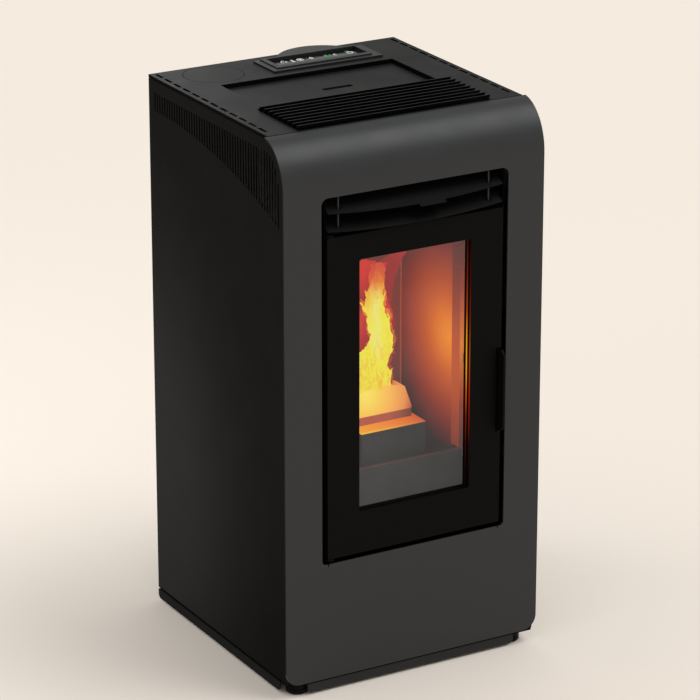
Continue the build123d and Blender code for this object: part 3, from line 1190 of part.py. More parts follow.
# ---- Door --------------------------------------------------------------------------
def door_frame():
    """Boxed door plate with a grooved reveal, hinge pin holes and the handle's pocket."""
    door = seen_from_front(soft_area(DOOR_SPAN, (DOOR_BOTTOM, DOOR_TOP), DOOR_CORNER), (DOOR_FACE, DOOR_REAR))
    window_z = (WINDOW_BOTTOM, WINDOW_TOP)
    window = soft_area(in_door(WINDOW_HALF), window_z, WINDOW_CORNER)
    door -= seen_from_front(window, (DOOR_FACE - 1, DOOR_REAR + 1))
    wide = area(in_door(WINDOW_HALF + GROOVE_DEEP), grow(window_z, GROOVE_DEEP))
    door -= seen_from_front(wide, GROOVE_A)
    door -= seen_from_front(wide, (GROOVE_B[0], DOOR_REAR + 1))
    for end, way in ((DOOR_BOTTOM, 1), (DOOR_TOP, -1)):
        door -= rod(HINGE_X, HINGE_DEPTH, end - way, (0, 0, way), HINGE_PIN_SINK + 1, HINGE_PIN)
    pocket_x = (POCKET_LEFT, DOOR_SPAN[1] + 1)
    door -= block(pocket_x, (DOOR_FACE - 1, DOOR_REAR + 1), grow(GRIP_Z, 2))
    shaft_z = GRIP_Z[0] - SHAFT_OVER - 1
    length = GRIP_Z[1] - GRIP_Z[0] + 2 * SHAFT_OVER + 2
    door -= rod(HANDLE_X, HANDLE_DEPTH, shaft_z, (0, 0, 1), length, HANDLE_SHAFT + RUNNING)
    return door - door_hollow()


def door_hollow():
    """Cutters for the boxed door's inside and the drain holes in its lower edge."""
    x = (DOOR_SPAN[0] + DOOR_WALL, POCKET_LEFT - DOOR_WALL)
    z = grow((DOOR_BOTTOM, DOOR_TOP), -HINGE_PIN_SINK - DOOR_WALL)
    margin = GROOVE_DEEP + DOOR_WALL
    ring = area(x, z) - area(in_door(WINDOW_HALF + margin), grow((WINDOW_BOTTOM, WINDOW_TOP), margin))
    cutters = [seen_from_front(ring, (DOOR_FACE + DOOR_SKIN, DOOR_REAR - DOOR_SKIN))]
    middle = (DOOR_FACE + DOOR_REAR) / 2
    for drain_x in in_door(DRAIN_SPACING / 2):
        cutters.append(rod(drain_x, middle, DOOR_BOTTOM - 1, (0, 0, 1), z[0] + 2 - DOOR_BOTTOM, DRAIN_RADIUS))
    return cutters


def door_hinge_pins():
    """Two pins, pressed into the door, that turn in the brackets."""
    pins = []
    for end, way in ((DOOR_BOTTOM, -1), (DOOR_TOP, 1)):
        start = end - way * HINGE_PIN_SINK
        length = HINGE_PIN_SINK + BRACKET_GAP + BRACKET_SHEET + REST
        pins.append(rod(HINGE_X, HINGE_DEPTH, start, (0, 0, way), length, HINGE_PIN))
    return Compound(pins)


def glass_outline(inset):
    """The window glass's outline, shrunk by an inset."""
    half = WINDOW_HALF + GLASS_MARGIN - inset
    return soft_area(in_door(half), grow((WINDOW_BOTTOM, WINDOW_TOP), GLASS_MARGIN - inset), 5)


def glass_tape():
    """Flat tape between the door and its glass."""
    ring = glass_outline(0) - glass_outline(8)
    return seen_from_front(ring, (DOOR_REAR, DOOR_REAR + TAPE))


def door_glass():
    """Heat proof glass behind the door."""
    return seen_from_front(glass_outline(0), (DOOR_REAR + TAPE, DOOR_REAR + TAPE + GLASS_SHEET))


def glass_clips():
    """Stepped clips that press the glass against the door."""
    rear = DOOR_REAR + TAPE + GLASS_SHEET
    edge = WINDOW_HALF + GLASS_MARGIN
    clips = []
    for side in (-1, 1):
        for share in CLIP_SHARES:
            z = WINDOW_BOTTOM + share * (WINDOW_TOP - WINDOW_BOTTOM)
            span = (z - CLIP_HEIGHT / 2, z + CLIP_HEIGHT / 2)
            over = sorted((DOOR_X + side * (edge - CLIP_OVER), DOOR_X + side * (edge + CLIP_OUT)))
            leg = sorted((DOOR_X + side * (edge + CLIP_OUT - THIN_SHEET), DOOR_X + side * (edge + CLIP_OUT)))
            clip = block(over, (rear, rear + THIN_SHEET), span)
            clips.append(clip + block(leg, (DOOR_REAR, rear + THIN_SHEET), span))
    return Compound(clips)


def door_gasket():
    """Rope seal round the glass that meets the firebox's face."""
    outer = soft_area(in_door(SEAL_BORE + SEAL_SIZE), SEAL_Z, SEAL_CORNER)
    inner = soft_area(in_door(SEAL_BORE), grow(SEAL_Z, -SEAL_SIZE), SEAL_CORNER - SEAL_SIZE)
    return seen_from_front(outer - inner, (DOOR_REAR, FACE_DEPTH - REST))


def hinge_brackets():
    """Two ears from the firebox's face that hold the door's pins."""
    ears = []
    low = DOOR_BOTTOM - BRACKET_GAP - BRACKET_SHEET
    high = DOOR_TOP + BRACKET_GAP
    for z, tongue_z in ((low, (low, low + BRACKET_TONGUE)), (high, (high + BRACKET_SHEET - BRACKET_TONGUE, high))):
        x = (HINGE_X - BRACKET_HALF, HINGE_X + 2 * BRACKET_HALF)
        outline = area(x, (HINGE_DEPTH, FACE_DEPTH)) + Pos(HINGE_X, HINGE_DEPTH) * Circle(BRACKET_HALF)
        ear = seen_from_above(outline, (z, z + BRACKET_SHEET))
        ear += block((-FACE_WIDTH / 2, x[1]), (FACE_DEPTH - BRACKET_SHEET, FACE_DEPTH), tongue_z)
        ears.append(ear - rod(HINGE_X, HINGE_DEPTH, z - 1, (0, 0, 1), 2 * BRACKET_SHEET, HINGE_PIN + RUNNING))
    return Compound(ears)


def door_handle():
    """Upright grip, its shaft and the hook that holds the door shut."""
    front = -HANDLE_PROUD
    rear = HANDLE_DEPTH + HANDLE_SHAFT
    low, high = GRIP_Z
    points = [
        (front, low + GRIP_BEVEL), (front, high - GRIP_BEVEL), (front + GRIP_BEVEL, high),
        (rear, high), (rear, low), (front + GRIP_BEVEL, low),
    ]
    grip = seen_from_side(Polygon(*points, align=None), FIN_X)
    length = high - low + 2 * SHAFT_OVER
    grip += rod(HANDLE_X, HANDLE_DEPTH, low - SHAFT_OVER, (0, 0, 1), length, HANDLE_SHAFT)
    grip += block(FIN_X, (HANDLE_DEPTH, HOOK_DEPTH[1]), HOOK_Z)
    return grip + block((HANDLE_X - HOOK_REACH, FIN_X[1]), HOOK_DEPTH, HOOK_Z)


def latch_keeper():
    """Pin between two ears on the firebox's face, behind which the hook closes."""
    low = HOOK_Z[0] - KEEPER_GAP
    high = HOOK_Z[1] + KEEPER_GAP
    x = (KEEPER_X - 2 * KEEPER_PIN, FACE_WIDTH / 2)
    depth = (KEEPER_DEPTH - KEEPER_PIN, FACE_DEPTH)
    keeper = block(x, depth, (low - KEEPER_SHEET, low)) + block(x, depth, (high, high + KEEPER_SHEET))
    pin_length = high - low + 2 * KEEPER_SHEET
    return keeper + rod(KEEPER_X, KEEPER_DEPTH, low - KEEPER_SHEET, (0, 0, 1), pin_length, KEEPER_PIN)


# ---- Warm air outlet ---------------------------------------------------------------
def outlet_frame():
    """Short duct between the front panel and the firebox's face, with the blades' pivots."""
    x = both(OUTLET_HALF)
    z = (OUTLET_BOTTOM, OUTLET_TOP)
    depth = (FRONT_SHEET, FACE_DEPTH)
    frame = block(x, depth, z) - block(grow(x, -THIN_SHEET), grow(depth, 1), grow(z, -THIN_SHEET))
    for level in (0, 1):
        height = BLADE_UPPER_Z - level * BLADE_SPACING
        frame -= cross_rod(grow(x, 1), BLADE_AXIS_DEPTH, height, BLADE_PIN + RUNNING)
    return frame


def blade(height, tab):
    """Tilted deflector blade with a bowed front edge, end pins and link lugs."""
    half = BLADE_CHORD / 2
    bow = ThreePointArc((-BLADE_HALF, -half), (0, -half - BLADE_SAG), (BLADE_HALF, -half))
    rest = Polyline(bow @ 1, (BLADE_HALF, half), (-BLADE_HALF, half), bow @ 0)
    outline = make_face([bow, rest])
    for side in (-1, 1):
        outline -= Pos(side * LINK_X, -LINK_OFFSET) * Rectangle(LINK_SLOT[1], LINK_SLOT[0])
    sheet = Pos(0, 0, -BLADE_SHEET / 2) * extrude(outline, BLADE_SHEET)
    if tab:
        middle = (TAB_X[0] + TAB_X[1]) / 2
        front = -half - BLADE_SAG - TAB_REACH / 2
        sheet += Pos(middle, front + 1, 0) * Box(TAB_X[1] - TAB_X[0], TAB_REACH + 3, BLADE_SHEET)
    for side in (-1, 1):
        start = side * (BLADE_HALF - 6)
        pin = Plane(origin=(start, 0, 0), z_dir=(side, 0, 0))
        sheet += pin * Cylinder(BLADE_PIN, OUTLET_HALF + 1 - BLADE_HALF + 6, align=FOOTED)
        for offset in (-LUG_GAP - 1, LUG_GAP):
            x = side * LINK_X + offset
            lug = Pos(x + 0.5, -LINK_OFFSET, 0) * Box(1, LUG_SIZE, LUG_SIZE)
            sheet += lug
        bore = Plane(origin=(side * LINK_X - 6, -LINK_OFFSET, 0), z_dir=(1, 0, 0))
        sheet -= bore * Cylinder(LINK_PIN + RUNNING, 12, align=FOOTED)
    return Pos(0, back(BLADE_AXIS_DEPTH), height) * Rot(BLADE_TILT, 0, 0) * sheet


def blade_links():
    """Two upright square rods that join the blades, each with a cross pin at both blades."""
    tilt = math.radians(BLADE_TILT)
    depth = BLADE_AXIS_DEPTH - LINK_OFFSET * math.cos(tilt)
    drop = LINK_OFFSET * math.sin(tilt)
    links = []
    for side in (-1, 1):
        x = side * LINK_X
        half = LINK_SIDE / 2
        link = block((x - half, x + half), (depth - half, depth + half), (LINK_BOTTOM, LINK_TOP))
        for level in (0, 1):
            height = BLADE_UPPER_Z - level * BLADE_SPACING - drop
            link += cross_rod((x - LUG_GAP - 1, x + LUG_GAP + 1), depth, height, LINK_PIN)
        links.append(link)
    return Compound(links)


# ---- Electrical --------------------------------------------------------------------
def board_part(reach, along, up, shift=0.0):
    """A closed component on the circuit board."""
    depth = [BOARD_DEPTH[0] + shift + value for value in along]
    return block((BOARD_X - reach, BOARD_X + 1), depth, [BOARD_Z[0] + value for value in up])


def control_board():
    """Circuit board with its main parts, on a bracket from the back panel."""
    board = block((BOARD_X, BOARD_X + BOARD_SHEET), BOARD_DEPTH, BOARD_Z)
    for component in (TRANSFORMER, HEAT_SINK, TERMINALS):
        board += board_part(*component)
    for index in range(RELAY_COUNT):
        board += board_part(*RELAY, index * RELAY_PITCH)
    z = grow(BOARD_Z, -BRACKET_MARGIN)
    plate_x = (BOARD_X + BOARD_SHEET, BOARD_X + 2 * BOARD_SHEET)
    board += block(plate_x, (BOARD_DEPTH[0], BACK_INNER), z)
    return board + block((BOARD_X - BRACKET_MARGIN, plate_x[1]), (BACK_INNER - BOARD_SHEET, BACK_INNER), z)


def power_inlet():
    """Mains inlet with three blades in its socket and a cut-out for the switch."""
    x = (INLET_X - INLET_SIZE[0] / 2, INLET_X + INLET_SIZE[0] / 2)
    z = (INLET_Z - INLET_SIZE[1] / 2, INLET_Z + INLET_SIZE[1] / 2)
    face = INLET_FACE + INLET_PROUD
    inlet = block(x, (INLET_FACE, face), z)
    body = (INLET_FACE - INLET_BODY, INLET_FACE + 1)
    inlet += block(grow(x, -INLET_LIP - 1), body, grow(z, -INLET_LIP - 1))
    socket_x = (x[0] + SOCKET_SIDES[0], INLET_X + SOCKET_SIDES[1])
    socket_z = (INLET_Z - SOCKET_HALF, INLET_Z + SOCKET_HALF)
    inlet -= block(socket_x, (face - SOCKET_DEEP, face + 1), socket_z)
    contact_z = (INLET_Z - CONTACT_HEIGHT / 2, INLET_Z + CONTACT_HEIGHT / 2)
    contact_depth = (face - SOCKET_DEEP - 1, face - CONTACT_SINK)
    for index in (-1, 0, 1):
        left = (socket_x[0] + socket_x[1] - CONTACT_WIDTH) / 2 + index * CONTACT_PITCH
        inlet += block((left, left + CONTACT_WIDTH), contact_depth, contact_z)
    hole_x = grow((SWITCH_X - SWITCH_SIZE[0] / 2, SWITCH_X + SWITCH_SIZE[0] / 2), REST)
    hole_z = grow((INLET_Z - SWITCH_SIZE[1] / 2, INLET_Z + SWITCH_SIZE[1] / 2), SWITCH_PLAY)
    inlet -= block(hole_x, (face - SWITCH_WELL, face + 1), hole_z)
    pivot_x = grow(hole_x, SWITCH_STUB + RUNNING)
    return inlet - cross_rod(pivot_x, face - SWITCH_AXIS, INLET_Z, LINK_PIN + RUNNING)


def power_switch():
    """Rocker that turns on two stub pins in the inlet."""
    face = INLET_FACE + INLET_PROUD
    half = SWITCH_SIZE[1] / 2
    points = [(-6, -half + 2), (-6, half - 2), (1, half), (0, 0), (1, -half)]
    rocker = Polygon(*points, align=None)
    place = Pos(face - SWITCH_AXIS, INLET_Z) * Rot(0, 0, SWITCH_ANGLE)
    x = (SWITCH_X - SWITCH_SIZE[0] / 2, SWITCH_X + SWITCH_SIZE[0] / 2)
    body = seen_from_side(place * rocker, x)
    return body + cross_rod(grow(x, REST + SWITCH_STUB), face - SWITCH_AXIS, INLET_Z, LINK_PIN)


PARTS = {
    "base_frame": base_frame,
    "corner_posts": corner_posts,
    "plinth_front": plinth_front,
    "plinth_sides": plinth_sides,
    "front_panel": front_panel,
    "back_panel": back_panel,
    "top_plate": top_plate,
    "top_grille": top_grille,
    "flue_blanking_disc": flue_blanking_disc,
    "control_bezel": control_bezel,
    "control_display": control_display,
    "hopper_lid": hopper_lid,
    "lid_gasket": lid_gasket,
    "hopper": hopper,
    "auger_tube": auger_tube,
    "auger_screw": auger_screw,
    "auger_motor": auger_motor,
    "feed_chute": feed_chute,
    "firebox_shell": firebox_shell,
    "fireback": fireback,
    "side_liners": side_liners,
    "hearth_plate": hearth_plate,
    "heat_exchanger_tubes": heat_exchanger_tubes,
    "burn_pot_holder": burn_pot_holder,
    "burn_pot": burn_pot,
    "ash_pan": ash_pan,
    "air_intake_pipe": air_intake_pipe,
    "igniter": igniter,
    "air_plenum": air_plenum,
    "room_fan_housing": room_fan_housing,
    "room_fan_rotor": room_fan_rotor,
    "room_fan_motor": room_fan_motor,
    "smoke_duct": smoke_duct,
    "exhaust_fan_housing": exhaust_fan_housing,
    "exhaust_impeller": exhaust_impeller,
    "exhaust_fan_motor": exhaust_fan_motor,
    "flue_spigot": flue_spigot,
    "door_frame": door_frame,
    "door_hinge_pins": door_hinge_pins,
    "door_glass": door_glass,
    "glass_tape": glass_tape,
    "glass_clips": glass_clips,
    "door_gasket": door_gasket,
    "hinge_brackets": hinge_brackets,
    "door_handle": door_handle,
    "latch_keeper": latch_keeper,
    "outlet_frame": outlet_frame,
    "blade_links": blade_links,
    "control_board": control_board,
    "power_inlet": power_inlet,
    "power_switch": power_switch,
    "casing_screws": casing_screws,
}

SIDES = (("left", -1), ("right", 1))
ENDS = (("front", FOOT_DEPTHS[0]), ("rear", FOOT_DEPTHS[1]))

os.makedirs("parts", exist_ok=True)
shapes = {name: make() for name, make in PARTS.items()}
shapes["upper_blade"] = blade(BLADE_UPPER_Z, True)
shapes["lower_blade"] = blade(BLADE_UPPER_Z - BLADE_SPACING, False)
for side_name, side in SIDES:
    shapes[f"side_panel_{side_name}"] = side_panel(side)
    for end_name, depth in ENDS:
        shapes[f"foot_{end_name}_{side_name}"] = levelling_foot(side, depth)
for name, shape in shapes.items():
    export_step(shape, f"parts/{name}.step")
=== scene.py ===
import json
import math

import bmesh
import bpy
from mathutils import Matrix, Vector, noise


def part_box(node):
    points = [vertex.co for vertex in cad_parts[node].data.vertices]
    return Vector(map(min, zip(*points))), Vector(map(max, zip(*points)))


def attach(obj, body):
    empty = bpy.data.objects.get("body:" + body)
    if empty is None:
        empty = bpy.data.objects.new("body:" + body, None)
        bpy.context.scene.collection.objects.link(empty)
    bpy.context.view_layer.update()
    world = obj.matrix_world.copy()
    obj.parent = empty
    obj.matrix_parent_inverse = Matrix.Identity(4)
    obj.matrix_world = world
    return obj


# Looks of a compact pellet stove. Metres, +Z up, front towards -Y. Lengths that are
# easier to read in millimetres are written with MM.

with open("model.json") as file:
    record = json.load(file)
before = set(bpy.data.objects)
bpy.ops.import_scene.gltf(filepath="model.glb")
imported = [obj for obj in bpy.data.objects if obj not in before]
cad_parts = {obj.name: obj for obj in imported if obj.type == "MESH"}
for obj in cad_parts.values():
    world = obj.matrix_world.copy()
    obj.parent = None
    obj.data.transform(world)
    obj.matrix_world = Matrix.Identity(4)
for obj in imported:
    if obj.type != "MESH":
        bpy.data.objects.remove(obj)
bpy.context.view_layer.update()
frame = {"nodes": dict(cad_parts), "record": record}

MM = 0.001

# ---- Places taken from the frame --------------------------------------------------
PANEL_LOW, PANEL_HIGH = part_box("front_panel")
POT_LOW, POT_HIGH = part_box("burn_pot")
GLASS_LOW, GLASS_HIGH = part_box("door_glass")
LINER_LOW, LINER_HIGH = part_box("side_liners")
HOLDER_LOW, HOLDER_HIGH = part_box("burn_pot_holder")
PLATE_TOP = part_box("top_plate")[1].z
SIDE_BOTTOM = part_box("side_panel_left")[0].z
SCREEN_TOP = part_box("control_display")[1].z
PAN_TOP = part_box("ash_pan")[1].z
FIREBACK_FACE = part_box("fireback")[0].y
FRONT_Y = PANEL_LOW.y                           # front panel's face
DOOR_MIDDLE = (GLASS_LOW.x + GLASS_HIGH.x) / 2

# ---- Camera -----------------------------------------------------------------------
CAMERA_PLACE = Vector((-2.8017, -4.91265, 2.5617))
CAMERA_LOOK = Vector((0.46769, 0.81397, -0.34452))
LENS = 186.4
SENSOR = 36.0
CLIP_END = 200.0

# ---- Light ------------------------------------------------------------------------
BACKGROUND = (0.905, 0.831, 0.753)
SKY_COLOUR = (1.0, 0.985, 0.965)
SKY_STRENGTH = 0.72
SUN_FROM = Vector((0.62, -0.42, 1.0))
SUN_ANGLE = math.radians(42.0)
SUN_STRENGTH = 1.1
# Soft lamps: name, place, aim, size, power, and whether the lamp lights the matt
# surfaces (else it is only a shine).
SOFT_LAMPS = [
    ("soft_fill", Vector((-1.5, 1.3, 1.0)), Vector((0.0, 0.1, 0.6)), 1.2, 8.5, True),
    ("top_shine", Vector((0.2, 1.6, 1.6)), Vector((-0.15, 0.0, 0.94)), 0.7, 4.4, False),
]
FLOOR_RADIUS = 40.0
FLOOR_SIDES = 128
FLOOR_COLOUR = (0.91, 0.835, 0.755)
FLOOR_GRAIN = 0.6
FLOOR_MOTTLE = 0.005

# ---- Fire: places and outlines ------------------------------------------------------
FIRE_X = 0.0
FIRE_Y = (POT_LOW.y + POT_HIGH.y) / 2
FIRE_FOOT = POT_HIGH.z - 22 * MM
FIRE_TOP = POT_HIGH.z + 236 * MM
GLOW_PLACE = Vector((FIRE_X, FIRE_Y - 28 * MM, POT_HIGH.z + 70 * MM))
GLOW_POWER = 0.12
GLOW_COLOUR = (1.0, 0.29, 0.045)
GLOW_RADIUS = 25 * MM
# Outlines of the fire's layers from the foot up: height over the pot's rim, left edge, right edge.
HEART = [(-22, -34, 30), (-8, -36, 31), (2, -38, 28), (9, -40, 30), (17, -42, 31), (22, -42, 25),
         (32, -42, 22), (42, -41, 23.5), (49, -40, 26), (54, -36, 29), (60, -29, 31), (67, -20, 32),
         (76, -12, 31), (86, -11, 28.5), (94, -17, 27.5), (100, -17, 23.5), (107, -15, 22.5),
         (114, -17, 20), (120, -16, 16), (127, -15, 14.5), (135, -18, 12.5), (147, -20, 12.5),
         (155, -19, 11.5), (163, -16, 11), (171, -10.5, 10), (182, -11.5, 13), (191, -6, 10),
         (200, -3, 5)]
FRINGE = [(-5, -36, 32), (17, -42, 34), (27, -42, 30), (40, -41, 28), (50, -39, 30), (58, -34, 34),
          (66, -24, 35), (76, -15, 34), (86, -13, 32), (107, -18, 25), (120, -19, 21), (147, -24, 16),
          (171, -16, 15), (191, -14, 16), (205, -12, 12)]
RED = [(45, -46, 8), (80, -46, 24), (92, -46, 31), (106, -46, 34), (122, -46, 33), (140, -46, 27),
       (156, -46, 22), (172, -46, 17), (184, -46, 16), (196, -46, 19), (203, -46, 20), (209, -46, 17),
       (213, -46, 4), (218, -46, -24)]
VEIL = [(54, -54, 20), (70, -54, 36), (84, -54, 40), (118, -54, 36), (144, -52, 31), (152, -50, 33),
        (176, -48, 40), (200, -44, 47), (207, -40, 50), (211, 8, 53), (220, 20, 56), (228, 28, 58),
        (240, 42, 62)]
# Tongues: foot (x, height), tip (x, height), belly radius, bow of the spine in x.
LICKS = [((26, 50), (33.5, 58), 2.6, 0.5), ((26, 12), (30, 25), 3, 0.5), ((17, 96), (21, 126), 3.4, 3),
         ((8, 138), (15, 163), 3.2, 3), ((8, 160), (15.5, 180), 3, 2), ((-10, 120), (-28, 139), 5, 0),
         ((-14, 132), (-33, 151), 4.5, -1), ((-12, 152), (-23, 168), 4, -2), ((-2, 180), (4, 212), 6, 2)]
# Layers, front to back: outline, licks, how far behind the fire's axis, greatest half
# depth, growth, strength of the ripple, alpha range, scale of the gaps.
LAYERS = {
    "heart": (HEART, LICKS, 0.0, 15.0, 0.0, 0.8, (0.1, 1.0), 38.0),
    "fringe": (FRINGE, LICKS, 7.0, 5.0, 1.6, 1.3, (0.45, 1.0), 60.0),
    "red": (RED, [], 17.0, 5.0, 0.0, 1.1, (0.55, 0.95), 30.0),
    "veil": (VEIL, [], 24.0, 4.0, 0.0, 0.9, (0.45, 0.8), 22.0),
}
SIGHT = Vector((0.575, 1.0, -0.423))            # the layers lie behind each other along this way

# ---- Finishes: colours and gloss ----------------------------------------------------
BLACK = (0.0, 0.0, 0.0)
# Powder coats and stove paints: colour, roughness, specular level.
COATS = {
    "front_anthracite": ((0.0095, 0.0112, 0.0124), 0.42, 0.46),
    "top_black": ((0.009, 0.0091, 0.0092), 0.5, 0.06),
    "black_top": ((0.009, 0.0091, 0.0092), 0.5, 0.06),
    "side_black": ((0.003, 0.0031, 0.0032), 0.5, 0.014),
    "black_panel": ((0.0035, 0.0036, 0.0037), 0.5, 0.014),
    "back_black": ((0.01, 0.0102, 0.0104), 0.45, 0.25),
    # Front plinth: the plinth's black made lighter, as painted light.
    "plinth_black_painted_light": ((0.022, 0.022, 0.022), 0.5, 0.15),
    "plinth_black": ((0.013, 0.0132, 0.0134), 0.5, 0.014),
    "grille_black": ((0.004, 0.004, 0.004), 0.5, 0.07),
    "outlet_black": ((0.002, 0.002, 0.002), 0.5, 0.06),
    "outlet_deep_black": ((0.001, 0.001, 0.001), 0.7, 0.02),
    "link_grey": ((0.03, 0.03, 0.03), 0.5, 0.2),
    "black_cast": ((0.003, 0.003, 0.003), 0.6, 0.05),
    "stove_steel": ((0.03, 0.03, 0.03), 0.6, 0.2),
    "motor_black": ((0.02, 0.02, 0.02), 0.4, 0.35),
}
# Bare metals: colour, roughness, stretch of the drawn lines, spangle.
METALS = {
    "galvanised": ((0.2, 0.205, 0.21), 0.45, (1.0, 1.0, 1.0), 0.1),
    "bright_steel": ((0.45, 0.45, 0.45), 0.32, (1.0, 1.0, 0.05), 0.0),
}
# Moulded plastics and rubbers: colour, roughness, specular level.
PLASTICS = {
    "black_plastic": ((0.012, 0.012, 0.012), 0.5, 0.25),
    "soft_seal": ((0.02, 0.02, 0.02), 0.8, 0.2),
    "foot_rubber": ((0.002, 0.002, 0.002), 0.35, 0.08),
}
# Plates by the fire: colour, ash, roughness, depth of the grit, specular level.
FIRE_PLATES = {
    "firebox_steel": ((0.03, 0.024, 0.02), (0.05, 0.041, 0.036), 0.75, 0.03 * MM, 0.1),
    "shell_steel": ((0.03, 0.024, 0.02), (0.05, 0.041, 0.036), 0.75, 0.02 * MM, 0.1),
    "fireback_steel": ((0.03, 0.024, 0.02), (0.05, 0.041, 0.036), 0.75, 0.02 * MM, 0.1),
    "liner_plate": ((0.024, 0.017, 0.013), (0.034, 0.026, 0.021), 0.8, 0.0, 0.08),
    "pot_iron": ((0.06, 0.045, 0.035), (0.09, 0.07, 0.055), 0.75, 0.08 * MM, 0.1),
    "holder_steel": ((0.022, 0.021, 0.02), (0.034, 0.032, 0.03), 0.75, 0.02 * MM, 0.1),
    "pan_steel": ((0.026, 0.026, 0.026), (0.038, 0.038, 0.038), 0.7, 0.02 * MM, 0.12),
}
ROPE_GREY = (0.05, 0.05, 0.05)
BOARD_GREENS = {"Color1": (0.015, 0.11, 0.04), "Color2": (0.02, 0.15, 0.06), "Mortar": (0.06, 0.28, 0.12)}
SCREEN_DARK, SCREEN_SMEAR = (0.004, 0.004, 0.004), (0.007, 0.007, 0.007)
# Colour of the painted shade on edges, folds and recesses.
EDGE_SHADE_COLOUR = (0.001, 0.001, 0.001)
# Painted glow of the window's haze: its grey is emitted, not lit.
HAZE_GLOW_LOW, HAZE_GLOW_HIGH = (0.315, 0.3, 0.295), (0.36, 0.345, 0.335)
HAZE_ALPHA = (0.07, 0.082)
BOARD_ROUGHNESS, GLASS_ROUGHNESS, SCREEN_ROUGHNESS = (0.3, 0.5), (0.08, 0.13), (0.1, 0.2)
FRONT_SHADE_WIDTH = 0.1 * MM                            # painted shade, dark and dull: down the front panel's side edges, under the top plate's face and along the side panels' foot
TOP_SHADE_DEPTH = 0.7 * MM                             # under the top plate's face
SIDE_SHADE_HEIGHT = 1.5 * MM                             # and along the side panels' foot

# ---- Finishes: scales of the noises and sizes of the relief ---------------------------
NOISE_LOW, NOISE_HIGH = 0.3, 0.7                # most of a noise lies between these
COAT_CLOUD, COAT_DUST, COAT_PEEL = 14.0, 900.0, 700.0
COAT_CLOUD_SHARE = 0.7
COAT_MOTTLE, COAT_SWAY = 0.08, 0.04             # of the colour, and of the roughness
COAT_SOFTNESS = 0.5                             # strength of the relief
METAL_LINES, METAL_PATCHES = 500.0, 60.0
METAL_SHADES, METAL_SWAY = (0.85, 1.1), (0.08, 0.1)
METAL_RELIEF, METAL_SOFTNESS, METAL_EDGE = 0.03 * MM, 0.4, 0.4 * MM
PLASTIC_SKIN, PLASTIC_CLOUD = 1400.0, 30.0
PLASTIC_SHADES, PLASTIC_SWAY = (0.85, 1.15), 0.05
PLASTIC_RELIEF, PLASTIC_SOFTNESS, PLASTIC_EDGE = 0.04 * MM, 0.6, 0.5 * MM
SOOT_CLOUD, SOOT_DUST, SOOT_CALM = 22.0, 400.0, 14.0
SOOT_CLOUD_SHARE = 0.75
SOOT_SWAY = (0.05, 0.08)
SOOT_SOFTNESS, SOOT_EDGE = 0.4, 0.6 * MM
ROPE_STRANDS, ROPE_SKEW, ROPE_RELIEF = 180.0, 1.5, 0.8 * MM
ROPE_SHADES = (0.6, 1.4)
BOARD_TRACKS, BOARD_GAP, BOARD_GRAIN = 90.0, 0.03, 300.0
BOARD_RELIEF, BOARD_SOFTNESS = 0.1 * MM, 0.4
HAZE_CLOUD, GLASS_CLOUD, SCREEN_CLOUD = 16.0, 40.0, 35.0

# ---- Firelight: centres, reaches and colours --------------------------------------------
IN_YZ, IN_Z = (0.0, 1.0, 1.0), (0.0, 0.0, 1.0)  # weights that drop an axis
# Painted sheen on the side panels: their coat made lighter low down towards the rear.
SIDE_SHEEN_CENTRE = (0.0, 0.3, 0.2)
SIDE_SHEEN_WEIGHT = (0.0, 1.3, 1.0)
SIDE_SHEEN_REACH = 0.75
SIDE_PAINTED_SHEEN = [(0.0, (0.02, 0.02, 0.02)), (0.35, (0.019, 0.019, 0.019)), (0.52, (0.0105, 0.0105, 0.0105)),
             (0.68, (0.0045, 0.0045, 0.0045)), (0.86, (0.001, 0.001, 0.001)), (1.0, (0.001, 0.001, 0.001))]
REVEAL_X = 103.6 * MM
REVEAL_LANDS = [(12.6 * MM, 15.4 * MM), (3.0 * MM, 5.2 * MM)]
REVEAL_LOW, REVEAL_HIGH = 0.33, 0.74
REVEAL_HALF, REVEAL_SOFT = 0.4 * MM, 0.2 * MM
LAND_SOFT = 0.4 * MM
REVEAL_GLOW = [(0.0, (0.004, 0.0, 0.0)), (0.12, (0.03, 0.002, 0.0)), (0.24, (0.2, 0.01, 0.0)),
               (0.34, (0.65, 0.09, 0.0)), (0.44, (0.85, 0.35, 0.005)), (0.56, (0.75, 0.33, 0.006)),
               (0.68, (0.42, 0.05, 0.003)), (0.82, (0.16, 0.01, 0.0)), (1.0, (0.02, 0.001, 0.0))]
REVEAL_DEEP_GLOW = [(0.0, (0.0, 0.0, 0.0)), (0.12, (0.015, 0.001, 0.0)), (0.24, (0.25, 0.008, 0.0)),
                    (0.34, (0.4, 0.018, 0.0)), (0.5, (0.42, 0.06, 0.002)), (0.62, (0.2, 0.01, 0.0)),
                    (0.8, (0.06, 0.002, 0.0)), (1.0, (0.0, 0.0, 0.0))]
LINER_GLOW_CENTRE = (0.0, LINER_LOW.y + 8 * MM, 0.545)
LINER_GLOW_REACH = 0.2
LINER_GLOW = [(0.0, (0.92, 0.25, 0.0)), (0.15, (0.8, 0.19, 0.0)), (0.25, (0.69, 0.135, 0.0)),
              (0.37, (0.54, 0.08, 0.0)), (0.5, (0.41, 0.045, 0.0)), (0.65, (0.27, 0.02, 0.0)),
              (0.76, (0.17, 0.008, 0.0)), (0.87, (0.08, 0.002, 0.0)), (1.0, (0.005, 0.0, 0.0))]
JAMB_X = LINER_HIGH.x - 2 * MM
JAMB_HALF = 2.6 * MM
JAMB_SOFT = 0.2 * MM
JAMB_LAP = 1 * MM                               # the jambs are lit from this far below the pan's top
JAMB_EDGE = 43 * MM
JAMB_GLOW_REACH = 0.2
JAMB_GLOW_CENTRE = (0.0, 0.0, 0.505)
JAMB_GLOW = [(0.0, (0.49, 0.065, 0.0)), (0.25, (0.45, 0.055, 0.0)), (0.5, (0.3, 0.026, 0.0)),
             (0.75, (0.17, 0.01, 0.0)), (1.0, (0.08, 0.002, 0.0))]
EDGE_GLOW_CENTRE = (0.0, 0.0, 0.54)
